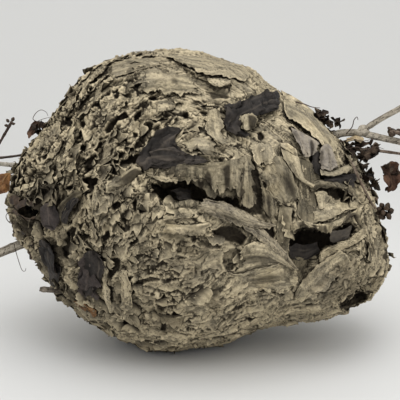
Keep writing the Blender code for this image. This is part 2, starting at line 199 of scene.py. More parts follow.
def cells(points, size, seed, bands, stretch):
    """Each point's nearest and next nearest scattered centre, and a random number for the nearest.

    Distances are in cells, and the cells are drawn out along the bands' direction.
    """
    scaled = points / size
    base = np.floor(scaled).astype(np.int64)
    nearest = np.full(len(points), 9.0)
    second = np.full(len(points), 9.0)
    number = np.zeros(len(points))
    for offset in product((-1, 0, 1), repeat=3):
        cell = base + np.array(offset)
        centre = cell + np.stack([hashed(cell, seed + axis) for axis in range(3)], axis=-1)
        away = centre - scaled
        along = np.einsum("ij,ij->i", away, bands)
        square = np.einsum("ij,ij->i", away, away)
        distance = np.sqrt(np.maximum(square - along**2 * (1.0 - 1.0 / stretch**2), 0.0))
        closer = distance < nearest
        second = np.where(closer, nearest, np.minimum(second, distance))
        number = np.where(closer, hashed(cell, seed + 5), number)
        nearest = np.where(closer, distance, nearest)
    return nearest, second, number


def ease(low, high, values):
    """0 below low, 1 above high and an easy curve between."""
    t = np.clip((values - low) / (high - low), 0.0, 1.0)
    return t * t * (3.0 - 2.0 * t)


def unit(vectors):
    return vectors / np.maximum(np.linalg.norm(vectors, axis=-1, keepdims=True), 1e-9)


# ---------------------------------------------------------------- the ground under the paper


def vectors_of(collection, name):
    """This vector of every item in a mesh's collection, one row each."""
    found = np.empty(len(collection) * 3, np.float32)
    collection.foreach_get(name, found)
    return found.reshape(-1, 3).astype(float)


def positions(mesh):
    return vectors_of(mesh.vertices, "co")


def normals(mesh):
    return vectors_of(mesh.vertex_normals, "vector")


def cad_copy(node):
    """A closed copy of a CAD node's mesh, as a bmesh."""
    copy = bmesh.new()
    copy.from_mesh(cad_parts[node].data)
    bmesh.ops.remove_doubles(copy, verts=copy.verts, dist=1e-6)
    return copy


def applied(obj):
    """The object's mesh with its modifiers applied; the object itself is removed."""
    bpy.context.view_layer.update()
    evaluated = obj.evaluated_get(bpy.context.evaluated_depsgraph_get())
    mesh = bpy.data.meshes.new_from_object(evaluated)
    bpy.data.objects.remove(obj)
    return mesh


def loose_object(name, shape):
    """An object of the scene made from a bmesh, which is freed."""
    mesh = bpy.data.meshes.new(name)
    shape.to_mesh(mesh)
    shape.free()
    obj = bpy.data.objects.new(name, mesh)
    bpy.context.scene.collection.objects.link(obj)
    return obj


# The ground: how far it lies inside the CAD envelope, and the size of its faces where places are looked up
SINK = 0.0011
GROUND_CELL = 0.0016

# The bridged skin: how far beyond a hollow's mouth it starts in picture units, and how often it is smoothed
BRIDGE_MARGIN = 5.0
BRIDGE_PASSES = 400


@lru_cache(maxsize=None)
def ground_mesh(cell):
    """The envelope without its torn flaps, in even faces: seen from inside, each ray's first hit."""
    envelope = cad_copy("nest_envelope")
    walls = BVHTree.FromBMesh(envelope)
    envelope.free()
    ball = bmesh.new()
    bmesh.ops.create_icosphere(ball, subdivisions=7, radius=1.0)
    centre = Vector(MIDDLE)
    for vert in ball.verts:
        hit, _, _, _ = walls.ray_cast(centre, vert.co)
        vert.co = hit - vert.co * SINK
    for vert in ball.verts:
        vert.co.z = max(vert.co.z, 0.0)
    obj = loose_object("ground", ball)
    remesh = obj.modifiers.new("even faces", "REMESH")
    remesh.mode = "VOXEL"
    remesh.voxel_size = cell
    soften = obj.modifiers.new("soften", "SMOOTH")
    soften.factor = 0.5
    soften.iterations = 6
    return applied(obj)


class Ground:
    """Finds the paper's surface under any place of the front view."""

    STEP = 4

    def __init__(self, mesh):
        self.mesh = mesh
        shape = bmesh.new()
        shape.from_mesh(mesh)
        self.tree = BVHTree.FromBMesh(shape)
        shape.free()
        self.skin = self.bridged_skin()

    def toward(self, across, down):
        """How far towards the viewer the paper is at this place, or None beside the nest."""
        aim = Vector(place(across, down, 0.0))
        hit, _, _, _ = self.tree.ray_cast(Vector(EYE), aim - Vector(EYE))
        return None if hit is None else (hit - Vector(MIDDLE)).dot(Vector(TOWARD))

    def bridged_skin(self):
        """How far towards the viewer the paper is at each grid place, smoothly bridged over hollows."""
        count = VIEW_WIDTH // self.STEP + 1
        heights = np.full((count, count), np.nan)
        for row, column in product(range(count), repeat=2):
            found = self.toward(column * self.STEP, row * self.STEP)
            if found is not None:
                heights[row, column] = found
        downs, acrosses = np.mgrid[0:count, 0:count] * float(self.STEP)
        for outline in MOUTHS:
            inside = outline_distance(acrosses.ravel(), downs.ravel(), outline) < BRIDGE_MARGIN
            heights[inside.reshape(count, count)] = np.nan
        unknown = np.isnan(heights)
        heights[unknown] = 0.0
        for _ in range(BRIDGE_PASSES):
            padded = np.pad(heights, 1, mode="edge")
            average = (padded[:-2, 1:-1] + padded[2:, 1:-1] + padded[1:-1, :-2] + padded[1:-1, 2:]) / 4.0
            heights[unknown] = average[unknown]
        return heights

    def skin_toward(self, across, down):
        """The bridged skin's height towards the viewer at many places."""
        column = np.clip(np.asarray(across) / self.STEP, 0, self.skin.shape[1] - 1.001)
        row = np.clip(np.asarray(down) / self.STEP, 0, self.skin.shape[0] - 1.001)
        left, top = np.floor(column).astype(int), np.floor(row).astype(int)
        x, y = column - left, row - top
        return ((1 - y) * ((1 - x) * self.skin[top, left] + x * self.skin[top, left + 1])
                + y * ((1 - x) * self.skin[top + 1, left] + x * self.skin[top + 1, left + 1]))


@lru_cache(maxsize=1)
def ground():
    return Ground(ground_mesh(GROUND_CELL))


# Mouths of the four hollows in the front view, as (across, down)
TEAR = ((152, 184), (176, 180), (198, 178), (214, 184), (238, 196), (240, 208), (226, 211),
        (206, 203), (192, 200), (176, 202), (160, 197))
NOTCH = ((289, 262), (291, 240), (298, 231), (312, 229), (330, 232), (352, 222), (357, 228),
         (345, 242), (326, 246), (318, 252), (306, 258), (298, 272), (292, 290))
ENTRANCE = ((339, 306), (343, 299), (350, 296), (360, 294), (368, 295), (367, 300), (360, 306),
            (350, 311), (342, 312))
LEFT_HOLLOW = ((9, 203), (16, 199), (30, 204), (38, 212), (36, 221), (25, 219), (12, 212))
MOUTHS = (TEAR, NOTCH, ENTRANCE, LEFT_HOLLOW)


def outline_distance(across, down, outline):
    """Distance to a closed outline in picture units, negative inside it."""
    nearest = np.full(len(across), 1e9)
    inside = np.zeros(len(across), bool)
    for (x0, y0), (x1, y1) in zip(outline, outline[1:] + outline[:1]):
        run_x, run_y = x1 - x0, y1 - y0
        t = np.clip(((across - x0) * run_x + (down - y0) * run_y) / (run_x**2 + run_y**2), 0.0, 1.0)
        nearest = np.minimum(nearest, np.hypot(across - x0 - t * run_x, down - y0 - t * run_y))
        crosses = (y0 > down) != (y1 > down)
        inside ^= crosses & (across < (down - y0) / (run_y or 1e-9) * run_x + x0)
    return np.where(inside, -nearest, nearest)


# ---------------------------------------------------------------- where the paper is rough

# Direction of the pulp's bands over the front: across, down, degrees anticlockwise from level
BAND_DIRECTIONS = (
    (120, 75, 25), (200, 65, -10), (260, 80, -38), (320, 125, -40), (90, 130, 48), (60, 180, 70),
    (40, 230, 105), (90, 250, 85), (150, 220, 20), (150, 280, 25), (120, 330, -30), (170, 340, -5),
    (230, 335, 15), (200, 300, 28), (210, 240, 8), (240, 232, -22), (270, 258, -45), (284, 285, -65),
    (270, 312, 22), (320, 303, 20), (352, 290, 42), (380, 262, 75), (372, 220, 100), (335, 250, 55),
    (312, 280, 60), (250, 185, -72), (305, 190, 90), (200, 120, 10), (150, 150, 32), (240, 140, -12),
)

# Roughness of the front's paper: across, down, reach, how rough (0 smooth, 1 all pits)
ROUGH_PLACES = (
    (110, 140, 60, 1.0), (70, 190, 60, 1.0), (115, 210, 48, 1.0), (80, 270, 46, 0.9),
    (175, 250, 40, 0.28), (180, 120, 45, 0.7), (150, 300, 46, 0.22), (230, 130, 30, 0.35),
    (195, 285, 40, 0.05), (205, 245, 34, 0.14), (160, 268, 28, 0.32), (120, 318, 34, 0.65),
    (128, 255, 30, 0.75), (110, 75, 40, 0.45), (165, 82, 30, 0.12), (195, 75, 40, 0.05),
    (215, 50, 40, 0.0), (260, 80, 40, 0.0), (320, 125, 40, 0.0),
    (250, 175, 40, 0.1), (300, 190, 40, 0.0), (220, 270, 40, 0.12), (265, 290, 40, 0.05),
    (230, 320, 40, 0.15), (330, 290, 40, 0.1), (370, 250, 40, 0.2), (345, 205, 25, 0.35),
    (355, 170, 25, 0.5), (300, 310, 30, 0.1), (370, 300, 25, 0.4), (60, 300, 40, 0.8),
    (165, 340, 34, 0.36), (240, 338, 30, 0.22), (310, 122, 18, 0.0), (330, 148, 14, 0.1),
)


def band_directions(points, outwards):
    """The direction of the paper's bands at each point, along the surface."""
    across, down = seen_at(points)
    total = np.zeros((len(points), 2))
    for place_across, place_down, degrees in BAND_DIRECTIONS:
        share = 1.0 / ((across - place_across) ** 2 + (down - place_down) ** 2 + 60.0) ** 1.5
        double = math.radians(2 * degrees)
        total += share[:, None] * np.array((math.cos(double), math.sin(double)))
    angle = 0.5 * np.arctan2(total[:, 1], total[:, 0]) + 0.8 * lumps(points, 0.030, 43, 2)
    front = np.cos(angle)[:, None] * ACROSS + np.sin(angle)[:, None] * UPWARD
    level = unit(np.cross(outwards, ACROSS + 0.4 * UPWARD))
    steep = np.cross(outwards, level)
    swirl = (2.4 * lumps(points, 0.07, 41, 2))[:, None]
    behind = np.cos(swirl) * level + np.sin(swirl) * steep
    facing = ease(-0.25, 0.15, outwards @ TOWARD)[:, None]
    chosen = front * facing + behind * (1.0 - facing)
    chosen -= outwards * np.einsum("ij,ij->i", chosen, outwards)[:, None]
    return unit(chosen)


def roughness(points, outwards):
    """How pitted the paper is at each point, from 0 to 1."""
    across, down = seen_at(points)
    total = np.zeros(len(points))
    weight = np.zeros(len(points))
    for place_across, place_down, reach, rough in ROUGH_PLACES:
        share = np.exp(-1.6 * ((across - place_across) ** 2 + (down - place_down) ** 2) / reach**2) + 1e-9
        total += share * rough
        weight += share
    behind = 0.8 * ease(-0.15, 0.75, lumps(points, 0.06, 51, 2))
    facing = ease(-0.2, 0.1, outwards @ TOWARD)
    return total / weight * facing + behind * (1.0 - facing)


# Places of the front painted darker: across, down, reach, how dark
DARK_PLACES = (
    (45, 206, 26, 0.75), (27, 224, 18, 0.75), (62, 250, 20, 0.60), (40, 268, 18, 0.55),
    (92, 272, 22, 0.65), (60, 300, 22, 0.60), (80, 318, 16, 0.50), (118, 300, 40, 0.34),
    (72, 205, 16, 0.60),
    (235, 232, 14, 0.60), (205, 252, 14, 0.30), (120, 290, 12, 0.40), (265, 215, 12, 0.50),
    (330, 178, 20, 0.60), (318, 158, 12, 0.70), (350, 196, 12, 0.50), (170, 262, 14, 0.30),
    (150, 62, 34, 0.22), (225, 66, 34, 0.26), (345, 275, 40, 0.34), (320, 298, 26, 0.22),
    (300, 185, 22, 0.25), (160, 318, 14, 0.45), (190, 290, 16, 0.20), (140, 240, 16, 0.25),
    (362, 165, 14, 0.60),
)


def darker_places(points, outwards):
    """How much darker the paper is painted at each point, from 0 to 1: the listed places, speckled, and broad
    random patches.
    """
    across, down = seen_at(points)
    total = np.zeros(len(points))
    for place_across, place_down, reach, dark in DARK_PLACES:
        square = (across - place_across) ** 2 + (down - place_down) ** 2
        total = np.maximum(total, dark * np.exp(-1.2 * square / reach**2))
    total *= ease(-0.1, 0.1, outwards @ TOWARD)
    speckled = ease(-0.6, 0.5, lumps(points, 0.006, 97, 3) + 1.1 * total)
    return np.maximum(total * speckled * 1.25, 0.55 * ease(0.30, 0.95, lumps(points, 0.016, 95, 3)))


# The two sizes of pits: size against the pit spacing, depth, which share stays shallow, seed
PITS = ((1.35, 1.0, 0.52, 71), (0.62, 0.30, 0.72, 77))


def pit_field(points, bands, rough, size, share, shallow, seed):
    """How deep each point is in a pit (0 to 1), how far from its wall, and how deep the pit is."""
    spacing = bpy.context.scene.nest_paper.pit_spacing * size
    warped = points + 0.55 * spacing * np.stack(
        [lumps(points, spacing * 1.2, seed + axis, 2) for axis in range(3)], axis=-1)
    nearest, second, number = cells(warped, spacing, seed, bands, 1.8)
    gap = second - nearest
    deep = 0.22 + 0.78 * (np.maximum(number - shallow, 0.0) / (1.0 - shallow)) ** 1.7
    deep = np.where(number < shallow, 0.05, deep) * share * rough
    return ease(0.03, 0.26, gap) * deep, gap, deep


# ---------------------------------------------------------------- shader sums


# Sockets of Blender's nodes that are known by number only
OBJECT_COORDINATES = 3
MIX_FIRST, MIX_SECOND, MIX_RESULT = 6, 7, 2


class Value:
    """A shader socket that can be used in sums; each operator adds one Math node."""

    def __init__(self, tree, socket):
        self.tree = tree
        self.socket = socket

    def _math(self, operation, first, second):
        node = self.tree.nodes.new("ShaderNodeMath")
        node.operation = operation
        for slot, item in zip(node.inputs, (first, second)):
            if isinstance(item, Value):
                self.tree.links.new(item.socket, slot)
            else:
                slot.default_value = item
        return Value(self.tree, node.outputs[0])

    def __add__(self, other):
        return self._math("ADD", self, other)

    def __sub__(self, other):
        return self._math("SUBTRACT", self, other)

    def __mul__(self, other):
        return self._math("MULTIPLY", self, other)


# How strongly dry paper, leaves and bark mirror light
SHEEN = 0.15


class Finish:
    """A material under construction, with one method that adds any node."""

    def __init__(self, name):
        self.material = bpy.data.materials.new(name)
        self.material.use_nodes = True
        self.tree = self.material.node_tree
        self.shader = self.tree.nodes["Principled BSDF"]
        self.shader.inputs["Specular IOR Level"].default_value = SHEEN

    def node(self, kind, settings=None, values=None, output=0):
        """Adds a node: settings first, then its sockets' values or links; returns one output."""
        node = self.tree.nodes.new(kind)
        for key, value in (settings or {}).items():
            if key == "stops":
                self._set_stops(node.color_ramp, value)
            else:
                setattr(node, key, value)
        for key, value in (values or {}).items():
            if isinstance(value, Value):
                self.tree.links.new(value.socket, node.inputs[key])
            else:
                node.inputs[key].default_value = value
        return Value(self.tree, node.outputs[output])

    @staticmethod
    def _set_stops(ramp, stops):
        while len(ramp.elements) < len(stops):
            ramp.elements.new(0.5)
        for element, (position, level) in zip(ramp.elements, stops):
            element.position = position
            element.color = (level, level, level, 1.0)

    def object_place(self, turn=(0.0, 0.0, 0.0)):
        coordinates = self.node("ShaderNodeTexCoord", output=OBJECT_COORDINATES)
        return self.node("ShaderNodeMapping", values={"Vector": coordinates, "Rotation": turn})

    def noise(self, where, scale, detail, roughness=0.55, distortion=0.0):
        return self.node("ShaderNodeTexNoise", values={
            "Vector": where, "Scale": scale, "Detail": detail,
            "Roughness": roughness, "Distortion": distortion})

    def ramp(self, factor, *stops):
        return self.node("ShaderNodeValToRGB", {"stops": stops}, {"Fac": factor})

    def mix(self, factor, first, second, blend="MIX"):
        """Mixes two colours, each a value or an RGB triple."""
        values = {0: factor, MIX_FIRST: as_colour(first), MIX_SECOND: as_colour(second)}
        settings = {"data_type": "RGBA", "blend_type": blend}
        return self.node("ShaderNodeMix", settings, values, output=MIX_RESULT)

    def channels(self, name):
        """The three numbers that a piece stores at its vertices under this name."""
        colour = self.node("ShaderNodeAttribute", {"attribute_name": name})
        split = self.tree.nodes.new("ShaderNodeSeparateColor")
        self.tree.links.new(colour.socket, split.inputs[0])
        return [Value(self.tree, output) for output in split.outputs]

    def openness(self, distance):
        """How open each place is to its own surroundings, 0 in a narrow hollow."""
        return self.node("ShaderNodeAmbientOcclusion", {"samples": 8}, {"Distance": distance}, output=1)

    def bump(self, height, distance, strength):
        return self.node("ShaderNodeBump", values={
            "Height": height, "Distance": distance, "Strength": strength})

    def finish(self, colour, roughness, normal=None):
        for name, value in (("Base Color", colour), ("Roughness", roughness), ("Normal", normal)):
            if isinstance(value, Value):
                self.tree.links.new(value.socket, self.shader.inputs[name])
            elif value is not None:
                self.shader.inputs[name].default_value = value
        return self.material


def as_colour(value):
    return value if isinstance(value, Value) else (*value, 1.0)


def dimmed(colour, factor):
    return tuple(channel * factor for channel in colour)


# ---------------------------------------------------------------- paper finish


@lru_cache(maxsize=None)
def paper_finish(name, lightness=1.0, violet=0.0, ochre=0.30):
    """Wasp paper: bands of cream, grey and brown pulp, paler at torn edges and raised places (their own
    colour together with painted highlight), with painted shade in its pits, cracks and crevices.

    The attribute "shade" holds depth (1 in a pit or hollow, where shade is painted, and where the paper is
    painted darker), edge (1 at a torn edge or raised place, paler by its own colour and by painted highlight)
    and tone (the bands).
    """
    paper = bpy.context.scene.nest_paper
    mat = Finish(name)
    where = mat.object_place()
    depth, edge, tone = mat.channels("shade")
    broad = mat.noise(where, 38.0, detail=5.0, roughness=0.62)
    stains = mat.noise(mat.object_place(turn=(0.4, 0.9, 0.2)), 27.0, detail=4.0, roughness=0.6)
    fibres = mat.noise(where, 1150.0, detail=2.0, roughness=0.6)
    grains = mat.noise(where, 420.0, detail=4.0, roughness=0.75)
    base = mat.mix(mat.ramp(broad, (0.40, 0.0), (0.62, 0.75)), tuple(paper.middle), tuple(paper.grey))
    base = mat.mix(mat.ramp(stains, (0.52, 0.0), (0.70, 1.0)) * ochre, base, tuple(paper.ochre))
    base = mat.mix(mat.ramp(tone, (0.52, 0.0), (0.80, 0.62)), base, tuple(paper.light))
    base = mat.mix(mat.ramp(tone, (0.16, 0.62), (0.42, 0.0)), base, dimmed(paper.grey, 0.42))
    base = mat.mix(1.0, base, mat.ramp(grains, (0.30, 0.68), (0.66, 1.22)), blend="MULTIPLY")
    dark_patches = mat.noise(where, 135.0, detail=6.0, roughness=0.72)
    base = mat.mix(mat.ramp(dark_patches, (0.36, 0.72), (0.48, 0.0)), base, dimmed(paper.grey, 0.30))
    # Torn edges and raised places paler: partly the paper's own colour, partly painted highlight
    base = mat.mix(edge * 0.62, base, dimmed(paper.light, 1.12))
    if violet:
        base = mat.mix(violet, base, (0.200, 0.178, 0.168))
    if lightness != 1.0:
        base = mat.mix(1.0, base, (lightness, lightness, lightness), blend="MULTIPLY")
    # Painted shade in pits, hollows, cracks and at the foot of steps, with the places painted darker
    base = mat.mix(mat.ramp(depth, (0.0, 0.0), (0.60, 0.86), (1.0, 1.0)), base, tuple(paper.deep))
    # Painted shade along thin broken cracks, which are also bumped in
    wrinkles = mat.noise(where, 120.0, detail=5.0, roughness=0.6, distortion=0.8)
    broken = mat.ramp(mat.noise(where, 75.0, detail=3.0), (0.50, 0.0), (0.60, 1.0))
    cracks = mat.ramp(wrinkles, (0.484, 0.0), (0.496, 0.60), (0.504, 0.60), (0.516, 0.0)) * broken
    base = mat.mix(cracks, base, tuple(paper.deep))
    # Painted shade in crevices, from the ambient occlusion node
    base = mat.mix(mat.ramp(mat.openness(0.007), (0.24, 0.95), (0.67, 0.0)), base, tuple(paper.deep))
    height = tone * 0.9 + grains * 0.8 + fibres * 0.35 - cracks * 1.2
    return mat.finish(base, roughness=0.93, normal=mat.bump(height, distance=0.0007, strength=0.8))


# ---------------------------------------------------------------- mesh helpers


def finished_piece(name, mesh, material, slot):
    """Makes the piece's object, gives it its material and lets it ride on the nest."""
    mesh.name = name
    mesh.materials.clear()
    mesh.materials.append(material)
    mesh.polygons.foreach_set("use_smooth", [True] * len(mesh.polygons))
    obj = bpy.data.objects.new(name, mesh)
    bpy.context.scene.collection.objects.link(obj)
    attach(obj, BODY)
    return obj


def store_shade(mesh, depth, edge, tone):
    """Stores depth, edge and tone at each vertex for the paper's colours."""
    layer = mesh.attributes.new("shade", "FLOAT_COLOR", "POINT")
    values = np.ones((len(mesh.vertices), 4), np.float32)
    for channel, given in enumerate((depth, edge, tone)):
        values[:, channel] = np.clip(np.broadcast_to(given, len(values)), 0.0, 1.0)
    layer.data.foreach_set("color", values.ravel())


def move_vertices(mesh, places):
    mesh.vertices.foreach_set("co", places.astype(np.float32).ravel())
    mesh.update()


# ---------------------------------------------------------------- the shell

# Hollows carved in the shell: outline, depth in millimetres, how dark the shade painted into it is, height of
# its rim in millimetres
HOLLOWS = (
    (TEAR, 6.0, 0.72, 0.6),
    (NOTCH, 5.0, 0.95, 0.3),
    (ENTRANCE, 7.0, 0.70, 1.2),
    (LEFT_HOLLOW, 6.0, 0.85, 0.4),
    (((26, 208), (33, 207), (37, 214), (33, 218), (27, 215)), 6.0, 1.0, 0.0),
    # under the top sheet's lip and the small flap, with a faint painted shadow
    (((184, 66), (196, 74), (207, 79), (222, 83), (232, 84), (228, 96), (214, 94), (206, 88),
      (198, 84), (188, 76)), 4.0, 0.25, 0.0),
    # the hooded slit and the crater above the grey leaf
    (((106, 132), (110, 125), (117, 117), (125, 112), (128, 116), (120, 123), (112, 130), (107, 134)),
     6.0, 0.9, 1.0),
    (((141, 134), (144, 127), (150, 122), (154, 123), (152, 129), (146, 136), (142, 138)), 5.0, 0.75, 1.0),
    (((94, 150), (98, 146), (100, 142), (106, 141), (103, 146), (102, 152), (97, 153)), 6.0, 1.0, 0.3),
    (((62, 122), (65, 116), (69, 115), (68, 121), (64, 124)), 7.0, 1.0, 0.3),
    (((81, 122), (85, 120), (87, 125), (83, 129), (80, 126)), 5.0, 0.9, 0.6),
    (((85, 168), (90, 162), (94, 161), (93, 168), (89, 174), (86, 172)), 6.0, 0.95, 0.3),
    (((64, 189), (68, 186), (75, 185), (77, 188), (70, 191)), 6.0, 1.0, 0.3),
    (((62, 208), (68, 201), (76, 196), (79, 198), (72, 205), (64, 212)), 5.0, 0.95, 0.6),
    (((62, 256), (63, 240), (67, 229), (74, 229), (73, 240), (68, 252), (66, 260)), 6.0, 0.85, 0.5),
    (((107, 262), (112, 259), (121, 260), (118, 270), (110, 282), (107, 276)), 5.0, 0.85, 0.4),
    (((103, 296), (108, 290), (112, 300), (110, 312), (105, 306)), 5.0, 0.8, 0.3),
    (((125, 160), (131, 156), (133, 158), (127, 163)), 4.0, 0.9, 0.2),
    (((150, 196), (156, 194), (158, 200), (152, 202)), 4.0, 0.7, 0.2),
    (((206, 90), (213, 88), (228, 90), (230, 96), (214, 96)), 4.0, 0.6, 0.2),
    (((95, 101), (99, 99), (102, 103), (99, 108), (95, 106)), 6.0, 0.95, 0.5),
    (((113, 92), (117, 90), (120, 94), (118, 99), (114, 97)), 6.0, 0.95, 0.5),
    (((150, 97), (155, 95), (157, 98), (152, 101)), 4.0, 0.9, 0.3),
    (((124, 69), (130, 66), (136, 67), (133, 72), (127, 73)), 4.0, 0.85, 0.4),
    (((140, 76), (146, 74), (149, 77), (143, 80)), 4.0, 0.8, 0.4),
    (((112, 206), (118, 203), (121, 207), (115, 211)), 5.0, 0.9, 0.5),
    (((138, 208), (144, 205), (147, 210), (140, 213)), 5.0, 0.85, 0.5),
    (((100, 236), (108, 233), (111, 238), (103, 243)), 5.0, 0.9, 0.5),
    (((128, 240), (136, 236), (139, 241), (131, 245)), 5.0, 0.8, 0.5),
    (((183, 114), (187, 113), (188, 118), (184, 119)), 4.0, 1.0, 0.3),
    (((133, 133), (137, 133), (138, 137), (134, 138)), 4.0, 0.9, 0.3),
    # soft dents of the swirled paper, lower middle
    (((190, 240), (195, 234), (206, 236), (216, 240), (222, 248), (212, 250), (200, 246)), 2.2, 0.12, 0.9),
    (((176, 252), (181, 245), (192, 246), (198, 254), (188, 256)), 2.2, 0.15, 0.8),
    (((186, 266), (194, 264), (204, 268), (198, 273), (188, 272)), 1.4, 0.10, 0.5),
    (((222, 264), (225, 254), (231, 249), (238, 249), (243, 254), (240, 262), (233, 270), (226, 271)),
     2.6, 0.30, 1.0),
    (((196, 243), (206, 241), (216, 246), (210, 248), (200, 247)), 2.0, 0.5, 0.2),
    (((211, 233), (222, 226), (240, 230), (248, 238), (244, 246), (232, 244), (222, 240)), 6.0, 0.85, 0.2),
    (((155, 308), (157, 301), (163, 298), (167, 303), (166, 311), (161, 315), (157, 314)), 2.6, 0.6, 0.8),
    (((160, 330), (161, 322), (166, 316), (174, 313), (181, 316), (176, 318), (171, 320), (167, 325),
      (165, 331)), 4.0, 0.95, 1.0),
    (((128, 292), (136, 282), (150, 278), (158, 281), (148, 283), (138, 287), (131, 296)), 2.4, 0.6, 0.8),
    (((126, 318), (136, 312), (146, 314), (138, 317), (129, 323)), 2.6, 0.8, 0.6),
    (((205, 304), (214, 300), (222, 308), (218, 314), (208, 310)), 1.6, 0.35, 0.4),
    # thin slits of the layered sheets, lower right and along the bottom edge
    (((254, 293), (266, 291), (280, 292), (284, 296), (270, 294), (256, 295)), 3.0, 0.9, 0.4),
    (((285, 268), (287, 272), (289, 280), (287, 280), (285, 274)), 3.0, 0.9, 0.2),
    (((214, 330), (226, 327), (236, 326), (226, 330), (216, 332)), 3.0, 0.9, 0.3),
    (((238, 324), (248, 321), (258, 319), (248, 323), (240, 326)), 3.0, 0.9, 0.3),
    (((232, 312), (240, 308), (246, 305), (240, 310), (234, 314)), 2.0, 0.7, 0.3),
    # the lobe's oval pit, and its right rim
    (((339, 264), (344, 256), (352, 251), (361, 250), (359, 256), (352, 262), (344, 266)), 2.4, 0.30, 0.7),
    (((386, 246), (390, 250), (389, 262), (386, 258)), 3.0, 0.8, 0.2),
    # the dark gaps of the shoulder
    (((288, 124), (296, 127), (308, 133), (322, 142), (319, 146), (306, 139), (294, 132)), 4.0, 0.95, 0.2),
    (((309, 148), (316, 146), (320, 156), (319, 172), (312, 168), (309, 158)), 6.0, 1.0, 0.0),
    (((320, 170), (334, 171), (352, 172), (352, 184), (338, 186), (324, 182)), 5.0, 0.9, 0.0),
    (((258, 132), (262, 131), (265, 136), (261, 139)), 4.0, 0.95, 0.2),
    (((310, 186), (324, 185), (342, 188), (345, 194), (340, 200), (330, 196), (318, 192), (312, 196)),
     5.0, 0.8, 0.4),
    (((340, 193), (344, 190), (348, 194), (347, 200), (342, 200)), 7.0, 1.0, 0.6),
    (((262, 228), (266, 222), (274, 224), (276, 236), (270, 244), (264, 238)), 6.0, 1.0, 0.0),
    # behind the curtain and beside the diagonal strip
    (((238, 160), (246, 155), (256, 160), (260, 175), (266, 200), (262, 215), (250, 214), (240, 208)),
     4.0, 0.85, 0.0),
    (((281, 204), (290, 205), (296, 212), (292, 222), (284, 220)), 5.0, 0.95, 0.0),
)


# Layers of paper: size and reach of the field they follow, its seed, how many steps, share of the height
LAYERS = ((0.019, 0.030, 61, 4.5, 1.0), (0.0070, 0.012, 65, 2.0, 0.30))

# Sharp ridges: size, reach, height, the share that smooth paper has, seed
RIDGES = ((0.013, 0.020, 0.0030, 0.45, 83), (0.0060, 0.020, 0.0005, 0.60, 84))

# Cracks along the bands: size, reach, seed, width against the field they follow
CRACKS = ((0.0110, 0.026, 87, 0.030), (0.0070, 0.018, 89, 0.040), (0.0042, 0.010, 93, 0.045))

# How high pit walls stand, how far leaves press the paper in and from how near, how widely cavities are
# felt, and how far beyond a hollow's outline its rim reaches in picture units
WALL_HEIGHT = 0.0016
LEAF_PRESS = 0.0020
LEAF_NEAR = 0.005
CAVITY_PASSES = 14
HOLLOW_BORDER = 8

# Where the shell is parted, in metres behind and beside the nest's middle, and how much its parts overlap
BACK_SEAM = 0.018
SIDE_SEAM = 0.045
SEAM_OVERLAP = 0.0012
CUT_MARGIN = 0.008


